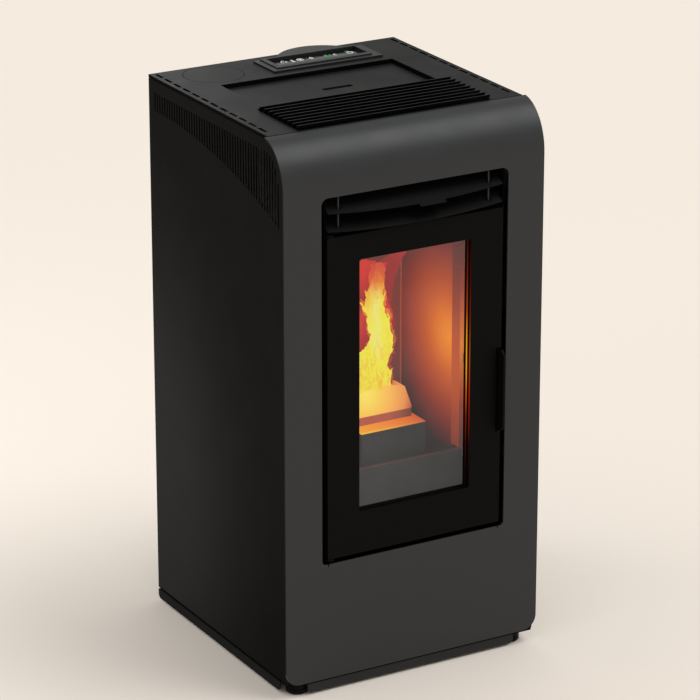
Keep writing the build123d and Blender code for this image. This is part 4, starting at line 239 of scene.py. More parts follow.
EDGE_GLOW = [(0.0, (0.72, 0.18, 0.0)), (0.3, (0.45, 0.07, 0.0)), (0.5, (0.25, 0.02, 0.0)),
             (0.75, (0.1, 0.005, 0.0)), (1.0, (0.04, 0.001, 0.0))]
CORNER_X, CORNER_LINE = 107.3 * MM, 0.5 * MM
FIREBACK_GLOW_CENTRE = (0.0, 0.0, 0.54)
FIREBACK_GLOW_WEIGHT = (0.6, 0.0, 1.0)
FIREBACK_SKIN = 1 * MM                          # only its front face is lit
CORNER_SOFT = 0.5 * MM
FIREBACK_GLOW_REACH = 0.2
FIREBACK_GLOW = [(0.0, (0.215, 0.015, 0.002)), (0.5, (0.14, 0.01, 0.001)), (1.0, (0.01, 0.001, 0.0))]
CORNER_GLOW = [(0.0, (0.5, 0.07, 0.01)), (0.5, (0.42, 0.05, 0.01)), (0.85, (0.25, 0.02, 0.004)),
               (1.0, (0.0, 0.0, 0.0))]
POT_SHOULDER = HOLDER_HIGH.z + 14.5 * MM
POT_GLOW_CENTRE = (-0.03, POT_LOW.y, POT_HIGH.z - 6 * MM)
POT_GLOW_REACH = 0.12
POT_GLOW = [(0.0, (0.96, 0.86, 0.1)), (0.25, (0.97, 0.6, 0.065)), (0.42, (0.96, 0.44, 0.06)),
            (0.62, (0.82, 0.27, 0.05)), (0.72, (0.52, 0.1, 0.02)), (0.8, (0.2, 0.015, 0.004)),
            (1.0, (0.08, 0.006, 0.002))]
BAND_GLOW = [(0.0, (0.42, 0.06, 0.03)), (0.6, (0.38, 0.055, 0.028)), (0.9, (0.17, 0.025, 0.012)),
             (1.0, (0.06, 0.01, 0.005))]
HOLDER_EDGE = 6 * MM
HOLDER_GLOW = [(0.0, (0.93, 0.36, 0.005)), (0.5, (0.88, 0.23, 0.005)), (0.85, (0.74, 0.14, 0.005)),
               (1.0, (0.58, 0.085, 0.003))]
HOLDER_EDGE_GLOW = [(0.0, (0.98, 0.55, 0.02)), (0.5, (0.95, 0.36, 0.02)), (0.85, (0.72, 0.16, 0.015)),
                    (1.0, (0.5, 0.08, 0.01))]
PAN_GLOW = [(0.3, (0.02, 0.004, 0.002)), (0.7, (0.05, 0.006, 0.003))]
PAN_GRAIN = 30.0
HOLDER_LIT, PAN_LIT = 1.6 * MM, 2.2 * MM         # lit bands below the top faces
LIT_FADE = 1 * MM


# ---- Node materials -----------------------------------------------------------------
class Nodes:
    """A node tree, and the steps by which it is built."""

    def __init__(self, tree):
        self.tree = tree

    def add(self, kind, **settings):
        node = self.tree.nodes.new(kind)
        for key, value in settings.items():
            setattr(node, key, value)
        return node

    def give(self, socket, value):
        """Links an input to an output, or sets its fixed value."""
        if isinstance(value, bpy.types.NodeSocket):
            self.tree.links.new(value, socket)
        else:
            socket.default_value = (*value, 1.0) if socket.type == "RGBA" else value

    def fill(self, node, **values):
        """Gives a node's inputs by name; _ stands for a space."""
        for name, value in values.items():
            self.give(node.inputs[name.replace("_", " ")], value)

    def maths(self, operation, first, second):
        node = self.add("ShaderNodeMath", operation=operation)
        self.give(node.inputs[0], first)
        self.give(node.inputs[1], second)
        return node.outputs["Value"]


class Finish(Nodes):
    """One node material with a principled surface, and the patterns it is built from."""

    def __init__(self, name):
        self.material = bpy.data.materials.new(name)
        self.material.use_nodes = True
        super().__init__(self.material.node_tree)
        self.shader = self.tree.nodes["Principled BSDF"]
        self.place = self.add("ShaderNodeTexCoord").outputs["Object"]

    def surface(self, **values):
        self.fill(self.shader, **values)

    def source(self, name):
        """What drives an input of the surface so far."""
        return self.shader.inputs[name].links[0].from_socket

    def stretched(self, stretch):
        node = self.add("ShaderNodeMapping")
        self.fill(node, Vector=self.place, Scale=stretch)
        return node.outputs["Vector"]

    def grain(self, scale, detail=2.0, stretch=None, roughness=0.5, distortion=0.0):
        node = self.add("ShaderNodeTexNoise")
        self.fill(node, Vector=self.stretched(stretch) if stretch else self.place, Scale=scale,
                  Detail=detail, Roughness=roughness, Distortion=distortion)
        return node.outputs["Fac"]

    def axis(self, name):
        node = self.add("ShaderNodeSeparateXYZ")
        self.fill(node, Vector=self.place)
        return node.outputs[name]

    def size(self, value):
        return self.maths("ABSOLUTE", value, 0.0)

    def spread(self, value, from_low, from_high, to_low, to_high):
        node = self.add("ShaderNodeMapRange")
        self.fill(node, Value=value, From_Min=from_low, From_Max=from_high, To_Min=to_low, To_Max=to_high)
        return node.outputs["Result"]

    def rise(self, value, low, high):
        """0 up to the low value, 1 from the high one on."""
        return self.spread(value, low, high, 0.0, 1.0)

    def vary(self, value, low, high):
        """Between low and high by a noise."""
        return self.spread(value, NOISE_LOW, NOISE_HIGH, low, high)

    def near(self, value, middle, half, soft):
        """1 where the value lies within half of the middle, fading to 0 over soft."""
        return self.spread(self.size(self.maths("SUBTRACT", value, middle)), half, half + soft, 1.0, 0.0)

    def away(self, centre, reach, weight=(1.0, 1.0, 1.0)):
        """0 at the centre, 1 from the reach on; the weight stretches or drops an axis."""
        node = self.add("ShaderNodeVectorMath", operation="DISTANCE")
        self.give(node.inputs[0], self.stretched(weight))
        self.give(node.inputs[1], [at * share for at, share in zip(centre, weight)])
        return self.rise(node.outputs["Value"], 0.0, reach)

    def weighed(self, first, second, share):
        """Two noises added, the first with this share of the whole."""
        return self.maths("ADD", self.maths("MULTIPLY", first, share),
                          self.maths("MULTIPLY", second, 1.0 - share))

    def ramp(self, value, stops, blend="LINEAR"):
        node = self.add("ShaderNodeValToRGB")
        self.fill(node, Fac=value)
        band = node.color_ramp
        band.interpolation = blend
        while len(band.elements) < len(stops):
            band.elements.new(0.5)
        for element, (place, colour) in zip(band.elements, stops):
            element.position = place
            element.color = (*colour, 1.0)
        return node.outputs["Color"]

    def tint(self, value, first, second):
        """From the first colour to the second by a noise."""
        return self.ramp(value, [(NOISE_LOW, first), (NOISE_HIGH, second)])

    def mottled(self, value, colour, dark, light):
        """A colour between its dark and its light share by a noise."""
        first, second = (tuple(channel * share for channel in colour) for share in (dark, light))
        return self.tint(value, first, second)

    def choose(self, mask, first, second, blend="MIX"):
        """First colour where the mask is 0, and the second mixed in where it is 1."""
        node = self.add("ShaderNodeMix", data_type="RGBA", blend_type=blend)
        sockets = [node.inputs["Factor"]] + [socket for socket in node.inputs if socket.type == "RGBA"]
        for socket, value in zip(sockets, (mask, first, second)):
            self.give(socket, value)
        return next(socket for socket in node.outputs if socket.type == "RGBA")

    def relief(self, height, depth, strength=1.0, edge=None):
        """Bumps of the surface; with an edge, its corners are softened over that width."""
        bump = self.add("ShaderNodeBump")
        self.fill(bump, Height=height, Distance=depth, Strength=strength)
        if edge:
            bevel = self.add("ShaderNodeBevel", samples=4)
            self.fill(bevel, Radius=edge)
            self.fill(bump, Normal=bevel.outputs["Normal"])
        self.surface(Normal=bump.outputs["Normal"])


def powder_coat(name, peel=0.05 * MM, edge=0.8 * MM):
    """Baked powder paint: fine orange peel, faint mottling and softened edges."""
    colour, roughness, specular = COATS[name]
    finish = Finish(name)
    cloud = finish.grain(COAT_CLOUD, detail=3.0)
    patches = finish.weighed(cloud, finish.grain(COAT_DUST), COAT_CLOUD_SHARE)
    finish.surface(Base_Color=finish.mottled(patches, colour, 1 - COAT_MOTTLE, 1 + COAT_MOTTLE),
                   Roughness=finish.vary(cloud, roughness - COAT_SWAY, roughness + COAT_SWAY),
                   Specular_IOR_Level=specular)
    finish.relief(finish.grain(COAT_PEEL), peel, COAT_SOFTNESS, edge)
    return finish


def metal(name):
    """Bare sheet or turned metal with drawn lines along its long way."""
    colour, roughness, stretch, spangle = METALS[name]
    finish = Finish(name)
    lines = finish.grain(METAL_LINES, detail=3.0, stretch=stretch)
    patches = finish.grain(METAL_PATCHES, detail=1.0)
    (dark, light), (below, above) = METAL_SHADES, METAL_SWAY
    finish.surface(Base_Color=finish.mottled(patches, colour, dark - spangle, light + spangle),
                   Roughness=finish.vary(lines, roughness - below, roughness + above), Metallic=1.0)
    finish.relief(lines, METAL_RELIEF, METAL_SOFTNESS, METAL_EDGE)
    return finish


def moulded(name):
    """Moulded plastic or rubber with a fine spark-eroded grain."""
    colour, roughness, specular = PLASTICS[name]
    finish = Finish(name)
    skin = finish.grain(PLASTIC_SKIN)
    finish.surface(Base_Color=finish.mottled(finish.grain(PLASTIC_CLOUD), colour, *PLASTIC_SHADES),
                   Roughness=finish.vary(skin, roughness - PLASTIC_SWAY, roughness + PLASTIC_SWAY),
                   Specular_IOR_Level=specular)
    finish.relief(skin, PLASTIC_RELIEF, PLASTIC_SOFTNESS, PLASTIC_EDGE)
    return finish


def fire_plate(name):
    """Heat-stained steel or iron with a bloom of pale ash; without grit it is smooth."""
    colour, ash, roughness, grit, specular = FIRE_PLATES[name]
    finish = Finish(name)
    if grit:
        cloud = finish.grain(SOOT_CLOUD, detail=4.0, roughness=0.6)
        dust = finish.grain(SOOT_DUST, detail=3.0)
        patches = finish.weighed(cloud, dust, SOOT_CLOUD_SHARE)
        finish.relief(dust, grit, SOOT_SOFTNESS, SOOT_EDGE)
    else:
        cloud = patches = finish.grain(SOOT_CALM, detail=0.0)
    below, above = SOOT_SWAY
    finish.surface(Base_Color=finish.tint(patches, colour, ash),
                   Roughness=finish.vary(cloud, roughness - below, roughness + above),
                   Specular_IOR_Level=specular)
    return finish


def painted_edge_shade(finish, mask):
    """Painted shade on edges, folds and recess walls of a coated sheet: dark and dull where the mask is 1.
    """
    finish.surface(Base_Color=finish.choose(mask, finish.source("Base Color"), EDGE_SHADE_COLOUR),
                   Roughness=finish.maths("MAXIMUM", finish.source("Roughness"), mask))
    return finish


def lit(finish, colour, mask=1.0):
    """Light that a surface gives: its colour, and where the mask lets it show."""
    finish.surface(Emission_Color=colour, Emission_Strength=mask)
    finish.material.cycles.emission_sampling = "NONE"
    return finish


def front_coat():
    """Front panel: painted shade, dark and dull, on the edges down its sides."""
    finish = powder_coat("front_anthracite", edge=0.2 * MM)
    across = finish.size(finish.axis("X"))
    return painted_edge_shade(finish, finish.maths("GREATER_THAN", across, PANEL_HIGH.x - FRONT_SHADE_WIDTH))


def top_coat():
    """Top plate: painted shade, dark and dull, on its turned-down flanges and the wall of the lid's recess.
    """
    finish = powder_coat("top_black")
    return painted_edge_shade(finish, finish.maths("LESS_THAN", finish.axis("Z"), PLATE_TOP - TOP_SHADE_DEPTH))


def side_coat():
    """Side panels: painted sheen, lighter low down towards the rear, and painted shade along their foot."""
    finish = powder_coat("side_black")
    far = finish.away(SIDE_SHEEN_CENTRE, SIDE_SHEEN_REACH, SIDE_SHEEN_WEIGHT)
    pale = finish.ramp(far, SIDE_PAINTED_SHEEN, "B_SPLINE")
    finish.surface(Base_Color=finish.choose(1.0, finish.source("Base Color"), pale, "ADD"))
    return painted_edge_shade(finish, finish.maths("LESS_THAN", finish.axis("Z"), SIDE_BOTTOM + SIDE_SHADE_HEIGHT))


def liner_plate():
    """Side liner: painted firelight, brightest at mid height by its front edge."""
    finish = fire_plate("liner_plate")
    return lit(finish, finish.ramp(finish.away(LINER_GLOW_CENTRE, LINER_GLOW_REACH, IN_YZ), LINER_GLOW))


def shell_steel():
    """Firebox: dark plate, with firelight on the jambs and the edges of its window."""
    finish = fire_plate("shell_steel")
    beside = finish.near(finish.size(finish.axis("X")), JAMB_X, JAMB_HALF, JAMB_SOFT)
    depth = finish.axis("Y")
    front = finish.maths("LESS_THAN", depth, LINER_LOW.y)
    edge = finish.maths("LESS_THAN", depth, FRONT_Y + JAMB_EDGE)
    over = finish.maths("GREATER_THAN", finish.axis("Z"), PAN_TOP - JAMB_LAP)
    jamb_glow = finish.ramp(finish.away(JAMB_GLOW_CENTRE, JAMB_GLOW_REACH, IN_Z), JAMB_GLOW)
    edge_glow = finish.ramp(finish.away(EDGE_GLOW_CENTRE, JAMB_GLOW_REACH, IN_Z), EDGE_GLOW)
    mask = finish.maths("MULTIPLY", finish.maths("MULTIPLY", beside, front), over)
    return lit(finish, finish.choose(edge, jamb_glow, edge_glow), mask)


def fireback_steel():
    """Fireback: dark plate, faintly lit, with a bright line down each side by the liners."""
    finish = fire_plate("fireback_steel")
    side = finish.near(finish.size(finish.axis("X")), CORNER_X, CORNER_LINE, CORNER_SOFT)
    far = finish.away(FIREBACK_GLOW_CENTRE, FIREBACK_GLOW_REACH, FIREBACK_GLOW_WEIGHT)
    front = finish.maths("LESS_THAN", finish.axis("Y"), FIREBACK_FACE + FIREBACK_SKIN)
    colour = finish.choose(side, finish.ramp(far, FIREBACK_GLOW), finish.ramp(far, CORNER_GLOW))
    return lit(finish, colour, front)


def pot_iron():
    """Burn pot: painted firelight, brightest by the flame and fading to the right, with a duller painted
    glow on the band round its foot.
    """
    finish = fire_plate("pot_iron")
    over = finish.rise(finish.axis("Z"), POT_SHOULDER - LIT_FADE / 2, POT_SHOULDER + LIT_FADE / 2)
    band = finish.ramp(finish.rise(finish.axis("X"), POT_LOW.x, POT_HIGH.x), BAND_GLOW)
    bowl = finish.ramp(finish.away(POT_GLOW_CENTRE, POT_GLOW_REACH), POT_GLOW)
    return lit(finish, finish.choose(over, band, bowl))


def holder_steel():
    """Pot holder: grey walls, its top plate lit from above and brightest along the front edge."""
    finish = fire_plate("holder_steel")
    over = finish.rise(finish.axis("Z"), HOLDER_HIGH.z - HOLDER_LIT, HOLDER_HIGH.z - HOLDER_LIT + LIT_FADE)
    across = finish.rise(finish.axis("X"), HOLDER_LOW.x, HOLDER_HIGH.x)
    front = finish.spread(finish.axis("Y"), HOLDER_LOW.y, HOLDER_LOW.y + HOLDER_EDGE, 1.0, 0.0)
    colour = finish.choose(front, finish.ramp(across, HOLDER_GLOW), finish.ramp(across, HOLDER_EDGE_GLOW))
    return lit(finish, colour, over)


def pan_steel():
    """Ash pan: grey plate with a faint red line of firelight along its top edge."""
    finish = fire_plate("pan_steel")
    over = finish.rise(finish.axis("Z"), PAN_TOP - PAN_LIT, PAN_TOP - PAN_LIT + LIT_FADE)
    return lit(finish, finish.ramp(finish.grain(PAN_GRAIN), PAN_GLOW), over)


def door_paint():
    """Stove paint of the door, with the fire's shine on the lands of the window's stepped reveal."""
    finish = powder_coat("black_cast", peel=0.06 * MM, edge=0.6 * MM)
    across = finish.size(finish.maths("SUBTRACT", finish.axis("X"), DOOR_MIDDLE))
    wall = finish.near(across, REVEAL_X, REVEAL_HALF, REVEAL_SOFT)
    depth = finish.axis("Y")
    inner, outer = (finish.near(depth, FRONT_Y + (low + high) / 2, (high - low) / 2, LAND_SOFT)
                    for low, high in REVEAL_LANDS)
    height = finish.rise(finish.axis("Z"), REVEAL_LOW, REVEAL_HIGH)
    colour = finish.choose(outer, finish.ramp(height, REVEAL_GLOW), finish.ramp(height, REVEAL_DEEP_GLOW))
    return lit(finish, colour, finish.maths("MULTIPLY", wall, finish.maths("ADD", inner, outer)))


def rope_seal():
    """Braided rope: slanting strands with dark gaps."""
    finish = Finish("rope_seal")
    weave = finish.add("ShaderNodeTexWave", wave_type="BANDS", bands_direction="DIAGONAL")
    finish.fill(weave, Vector=finish.place, Scale=ROPE_STRANDS, Distortion=ROPE_SKEW)
    strands = weave.outputs["Fac"]
    finish.surface(Base_Color=finish.mottled(strands, ROPE_GREY, *ROPE_SHADES), Roughness=0.9,
                   Specular_IOR_Level=0.2)
    finish.relief(strands, ROPE_RELIEF)
    return finish


def circuit_board():
    """Green board with paler tracks."""
    finish = Finish("circuit")
    tracks = finish.add("ShaderNodeTexBrick")
    finish.fill(tracks, Vector=finish.place, Scale=BOARD_TRACKS, Mortar_Size=BOARD_GAP, **BOARD_GREENS)
    finish.surface(Base_Color=tracks.outputs["Color"],
                   Roughness=finish.vary(finish.grain(BOARD_GRAIN), *BOARD_ROUGHNESS))
    finish.relief(tracks.outputs["Fac"], BOARD_RELIEF, BOARD_SOFTNESS)
    return finish


def window_glass():
    """Heat-proof glass: clear, with the thin grey haze of a stove in use; the haze's grey is a painted
    glow.
    """
    finish = Finish("ceramic_glass")
    haze = finish.grain(HAZE_CLOUD, detail=3.0)
    finish.surface(Base_Color=BLACK, Specular_IOR_Level=0.0, Alpha=finish.vary(haze, *HAZE_ALPHA),
                   Roughness=finish.vary(finish.grain(GLASS_CLOUD), *GLASS_ROUGHNESS))
    return lit(finish, finish.tint(haze, HAZE_GLOW_LOW, HAZE_GLOW_HIGH))


def screen_glass():
    """Gloss display window."""
    finish = Finish("screen_glass")
    smear = finish.grain(SCREEN_CLOUD, detail=3.0)
    finish.surface(Base_Color=finish.tint(smear, SCREEN_DARK, SCREEN_SMEAR),
                   Roughness=finish.vary(smear, *SCREEN_ROUGHNESS), Specular_IOR_Level=0.25)
    return finish


# By the record's material slot.
FINISHES = {
    "anthracite_panel": front_coat(),
    "black_panel": powder_coat("black_panel"),
    "black_top": powder_coat("black_top"),
    "black_cast": door_paint(),
    "stove_steel": powder_coat("stove_steel"),
    "motor_black": powder_coat("motor_black"),
    "galvanised": metal("galvanised"),
    "bright_steel": metal("bright_steel"),
    "firebox_steel": fire_plate("firebox_steel"),
    "liner_plate": liner_plate(),
    "pot_iron": pot_iron(),
    "ceramic_glass": window_glass(),
    "screen_glass": screen_glass(),
    "black_plastic": moulded("black_plastic"),
    "soft_seal": moulded("soft_seal"),
    "foot_rubber": moulded("foot_rubber"),
    "rope_seal": rope_seal(),
    "circuit": circuit_board(),
}

# By the node's own name, where it differs from its slot.
SIDE_COAT = side_coat()
OUTLET_BLACK = powder_coat("outlet_black")
NODE_FINISHES = {
    "top_plate": top_coat(),
    "back_panel": powder_coat("back_black"),
    "side_panel_left": SIDE_COAT,
    "side_panel_right": SIDE_COAT,
    # the front plinth's coat is made lighter as painted light
    "plinth_front": powder_coat("plinth_black_painted_light"),
    "plinth_sides": powder_coat("plinth_black"),
    "burn_pot_holder": holder_steel(),
    "firebox_shell": shell_steel(),
    "fireback": fireback_steel(),
    "ash_pan": pan_steel(),
    "upper_blade": OUTLET_BLACK,
    "lower_blade": OUTLET_BLACK,
    "outlet_frame": powder_coat("outlet_deep_black"),
    "hinge_brackets": OUTLET_BLACK,
    "blade_links": powder_coat("link_grey"),
    "top_grille": powder_coat("grille_black"),
}


def dress_nodes():
    """Gives every node of the frame its finish, by its own name or by its slot."""
    for part in frame["record"]["subparts"]:
        finish = NODE_FINISHES.get(part["node"]) or FINISHES[part["material_slot"]]
        mesh = frame["nodes"][part["node"]].data
        mesh.materials.clear()
        mesh.materials.append(finish.material)


# ---- New objects --------------------------------------------------------------------
def add_object(name, data):
    piece = bpy.data.objects.new(name, data)
    bpy.context.scene.collection.objects.link(piece)
    return piece


def add_mesh(name, mesh):
    """A new object from a bmesh, which is freed."""
    data = bpy.data.meshes.new(name)
    mesh.to_mesh(data)
    mesh.free()
    return add_object(name, data)


def add_lamp(name, kind, power, **settings):
    lamp = bpy.data.lights.new(name, kind)
    lamp.energy = power
    for key, value in settings.items():
        setattr(lamp, key, value)
    return add_object(name, lamp)


# ---- Fire ---------------------------------------------------------------------------
FLAME_STOPS = {
    "heart": [(0.0, (0.95, 0.7, 0.04)), (0.2, (0.93, 0.82, 0.04)), (0.45, (0.93, 0.85, 0.05)),
              (0.62, (0.93, 0.76, 0.04)), (0.71, (0.9, 0.45, 0.02)), (0.8, (0.84, 0.2, 0.015)),
              (0.9, (0.7, 0.06, 0.02))],
    "fringe": [(0.0, (0.42, 0.06, 0.02)), (0.3, (0.4, 0.04, 0.02)), (0.5, (0.82, 0.22, 0.02)),
               (0.7, (0.8, 0.16, 0.02)), (0.9, (0.66, 0.05, 0.02))],
    "red": [(0.0, (0.2, 0.006, 0.01)), (0.3, (0.26, 0.006, 0.01)), (0.4, (0.5, 0.015, 0.01)),
            (0.55, (0.64, 0.02, 0.01)), (0.68, (0.34, 0.008, 0.01)), (0.82, (0.66, 0.02, 0.01)),
            (1.0, (0.68, 0.02, 0.01))],
    "veil": [(0.0, (0.3, 0.006, 0.006)), (0.6, (0.36, 0.006, 0.006)), (1.0, (0.4, 0.01, 0.008))],
}
# Streaks and wisps of the fire: noise, and how far it shifts the colour up or down.
STREAKS = {"detail": 3.0, "stretch": (1.0, 1.0, 0.35), "roughness": 0.55, "distortion": 0.6}
WISPS = {"scale": 85.0, "detail": 4.0, "stretch": (1.0, 1.0, 0.5), "roughness": 0.62, "distortion": 1.6}
STREAK_SWAY = 0.06
# Ranges of a value and what they turn into.
PALE_WISPS = (0.35, 0.6, 0.3, 1.0)
EMBER_WISPS = (0.5, 0.6)
EMBER_HEIGHT = (0.06, 0.5, 0.95, 0.12)
HEART_FADE = (0.76, 0.9)
GAP_FADE = (0.4, 0.6)
PALE = (0.92, 0.87, 0.22)                       # core of the heart: colour, place, half width and fade
PALE_X, PALE_Z = -5 * MM, 0.575
PALE_SPAN_X, PALE_SPAN_Z = (3 * MM, 9 * MM), (40 * MM, 30 * MM)
EMBER = (0.93, 0.5, 0.03)


def heart_wisps(finish, height, colour):
    """Colour of the fire's heart, with a pale core and with orange wisps low down."""
    wisps = finish.grain(**WISPS)
    core = finish.maths("MULTIPLY", finish.near(finish.axis("X"), PALE_X, *PALE_SPAN_X),
                        finish.near(finish.axis("Z"), PALE_Z, *PALE_SPAN_Z))
    pale = finish.maths("MULTIPLY", core, finish.spread(wisps, *PALE_WISPS))
    low = finish.maths("MULTIPLY", finish.spread(height, *EMBER_HEIGHT), finish.rise(wisps, *EMBER_WISPS))
    return finish.choose(low, finish.choose(pale, colour, PALE), EMBER)


def flame_finish(name, alpha_low, alpha_high, scale):
    """Glowing gas: colour by height with rising streaks; the heart thins out at its top, the
    others have gaps where the noise is low."""
    finish = Finish("flame_" + name)
    streaks = finish.grain(scale, **STREAKS)
    height = finish.rise(finish.axis("Z"), FIRE_FOOT, FIRE_TOP)
    mixed = finish.maths("ADD", height, finish.vary(streaks, -STREAK_SWAY, STREAK_SWAY))
    colour = finish.ramp(mixed, FLAME_STOPS[name])
    if name == "heart":
        colour = heart_wisps(finish, height, colour)
        alpha = finish.spread(mixed, *HEART_FADE, alpha_high, alpha_low)
    else:
        alpha = finish.spread(streaks, *GAP_FADE, alpha_low, alpha_high)
    finish.surface(Base_Color=BLACK, Specular_IOR_Level=0.0, Roughness=1.0, Alpha=alpha)
    return lit(finish, colour)


RING_SIDES = 16
RING_STEP = 3.0
SWELL = 1.08              # an oval seen askance looks this much wider than it is
DEPTH_SHARE = 0.6         # half depth of the body by its half width
LICK_STEPS = 12
LICK_TAPER = 0.7
LICK_DEPTH_SHARE = 0.8
LICK_POINT = 0.3
SKIN_VOXEL = 1.1 * MM
SKIN_SMOOTHING = 3
CALM_HEIGHT = 30 * MM     # the ripple grows to its full push over this height
NOISE_SEED = 5            # Blender starts its noise from the clock, so it is started here instead
# Ripples: waves per metre in x, y and z, start of the noise (None is the layer's own), push.
RIPPLES = [((55, 40, 42), (3, 7, None), 3.4 * MM),
           ((160, 90, 95), (None, 1, 5), 3.4 * MM),
           ((380, 200, 230), (8, None, 2), 1.8 * MM)]


def ring(mesh, middle, across, deep):
    """One oval section of a flame, in millimetres round a point of the fire's own frame."""
    centre = Vector((FIRE_X, FIRE_Y, POT_HIGH.z)) + middle * MM
    turns = [2 * math.pi * side / RING_SIDES for side in range(RING_SIDES)]
    corners = [Vector((across * math.cos(a), deep * math.sin(a), 0.0)) for a in turns]
    return [mesh.verts.new(centre + corner * MM) for corner in corners]


def skin_rings(mesh, rings):
    """Closed skin over a row of sections."""
    mesh.faces.new(rings[0][::-1])
    for lower, upper in zip(rings, rings[1:]):
        for side in range(RING_SIDES):
            after = (side + 1) % RING_SIDES
            mesh.faces.new((lower[side], lower[after], upper[after], upper[side]))
    mesh.faces.new(rings[-1])


def add_body(mesh, outline, growth, deepest):
    """The layer's main body, lofted through its outline."""
    rings = []
    for (low, left, right), (high, next_left, next_right) in zip(outline, outline[1:]):
        steps = max(round((high - low) / RING_STEP), 1)
        for step in range(steps + (high == outline[-1][0])):
            t = step / steps
            from_x = left + (next_left - left) * t - growth
            to_x = right + (next_right - right) * t + growth
            half = (to_x - from_x) / 2
            middle = Vector(((from_x + to_x) / 2, 0.0, low + (high - low) * t))
            rings.append(ring(mesh, middle, half / SWELL, min(DEPTH_SHARE * half, deepest)))
    skin_rings(mesh, rings)


def add_lick(mesh, lick, growth, deepest):
    """One small tongue: oval sections along a bowed spine, drawn out to a point."""
    (foot_x, foot_z), (tip_x, tip_z), radius, bow = lick
    rings = []
    for step in range(LICK_STEPS + 1):
        t = step / LICK_STEPS
        middle = Vector((foot_x + (tip_x - foot_x) * t + bow * math.sin(math.pi * t), 0.0,
                         foot_z + (tip_z + growth - foot_z) * t))
        size = max(radius * (1.0 - t) ** LICK_TAPER + growth * (1.0 - t), LICK_POINT)
        rings.append(ring(mesh, middle, size, min(LICK_DEPTH_SHARE * size, deepest)))
    skin_rings(mesh, rings)


def ripple(point, seed):
    """Push of the rising gas at a point."""
    calm = min(max((point.z - POT_HIGH.z) / CALM_HEIGHT, 0.0), 1.0)
    push = Vector()
    for waves, start, reach in RIPPLES:
        at = Vector([along * wave for along, wave in zip(point, waves)])
        push += noise.noise_vector(at + Vector([seed if own is None else own for own in start])) * reach
    return push * calm


def flame_layer(name):
    """One layer of the fire as a closed, ragged skin."""
    outline, licks, behind, deepest, growth, rough, alpha, scale = LAYERS[name]
    mesh = bmesh.new()
    add_body(mesh, outline, growth, deepest)
    for lick in licks:
        add_lick(mesh, lick, growth, deepest)
    piece = add_mesh("flame_" + name, mesh)
    skin = piece.modifiers.new("skin", "REMESH")
    skin.mode = "VOXEL"
    skin.voxel_size = SKIN_VOXEL
    soft = piece.modifiers.new("soft", "SMOOTH")
    soft.iterations = SKIN_SMOOTHING
    graph = bpy.context.evaluated_depsgraph_get()
    shaped = bpy.data.meshes.new_from_object(piece.evaluated_get(graph))
    piece.modifiers.clear()
    piece.data = shaped
    for vertex in shaped.vertices:
        vertex.co += ripple(vertex.co, behind) * rough + SIGHT * (behind * MM)
    for face in shaped.polygons:
        face.use_smooth = True
    shaped.materials.append(flame_finish(name, *alpha, scale).material)
    piece.visible_shadow = False
    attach(piece, "pot")


def fire_light():
    """The fire's own light on what stands round it."""
    lamp = add_lamp("fire_light", "POINT", GLOW_POWER, color=GLOW_COLOUR, shadow_soft_size=GLOW_RADIUS)
    lamp.location = GLOW_PLACE


# ---- Display ------------------------------------------------------------------------
ICON_COLOURS = {"icon_white": (0.8, 0.85, 0.85), "icon_green": (0.02, 0.5, 0.08)}
ICON_DARK = (0.02, 0.02, 0.02)
ICON_GRAIN = 600.0
ICON_LIFT = 0.15 * MM
ICON_THICK = 0.2 * MM
STROKE_LAP = 1.15         # strokes of an arc overlap by this factor
FAN_TURNS = (90, 210, 330)
FAN_STROKES = 8
# Seven-segment numbers: each stroke's place across and up, in half sizes, and its angle.
SEGMENTS = {"a": (0, 1, 0), "b": (1, 0.5, 90), "c": (1, -0.5, 90), "d": (0, -1, 0),
            "e": (-1, -0.5, 90), "g": (0, 0, 0)}
DIGITS = {"2": "abged", "1": "bc"}


def bar(mesh, x, depth, length, width, angle=0.0):
    """A short flat stroke on the screen, in millimetres, centred on x and depth."""
    turn = math.radians(angle)
    along = Vector((math.cos(turn), math.sin(turn), 0.0)) * (length / 2 * MM)
    side = Vector((-math.sin(turn), math.cos(turn), 0.0)) * (width / 2 * MM)
    centre = Vector((x * MM, FRONT_Y + depth * MM, SCREEN_TOP + ICON_LIFT))
    flat = [centre + a * along + s * side for a, s in ((-1, -1), (1, -1), (1, 1), (-1, 1))]
    low = [mesh.verts.new(corner) for corner in flat]
    high = [mesh.verts.new(corner + Vector((0.0, 0.0, ICON_THICK))) for corner in flat]
    mesh.faces.new(low[::-1])
    mesh.faces.new(high)
    for at in range(4):
        after = (at + 1) % 4
        mesh.faces.new((low[at], low[after], high[after], high[at]))


def arc(mesh, x, depth, radius, width, start, end, strokes):
    """Short strokes along part of a circle."""
    step = (end - start) / strokes
    for at in range(strokes):
        middle = math.radians(start + (at + 0.5) * step)
        bar(mesh, x + radius * math.cos(middle), depth + radius * math.sin(middle),
            STROKE_LAP * radius * math.radians(abs(step)), width, math.degrees(middle) + 90.0)


def fan(mesh, x, depth, reach, radius, width, sweep):
    """Three curved blades round a middle."""
    for turn in FAN_TURNS:
        at = math.radians(turn)
        arc(mesh, x + reach * math.cos(at), depth + reach * math.sin(at), radius, width,
            turn - sweep, turn + sweep, FAN_STROKES)


def digit(mesh, character, x, depth, half_width, half_height, stroke):
    """One number of the display."""
    for segment in DIGITS[character]:
        across, up, angle = SEGMENTS[segment]
        length = half_height if angle else 2 * half_width
        bar(mesh, x + across * half_width, depth + up * half_height, length, stroke, angle)


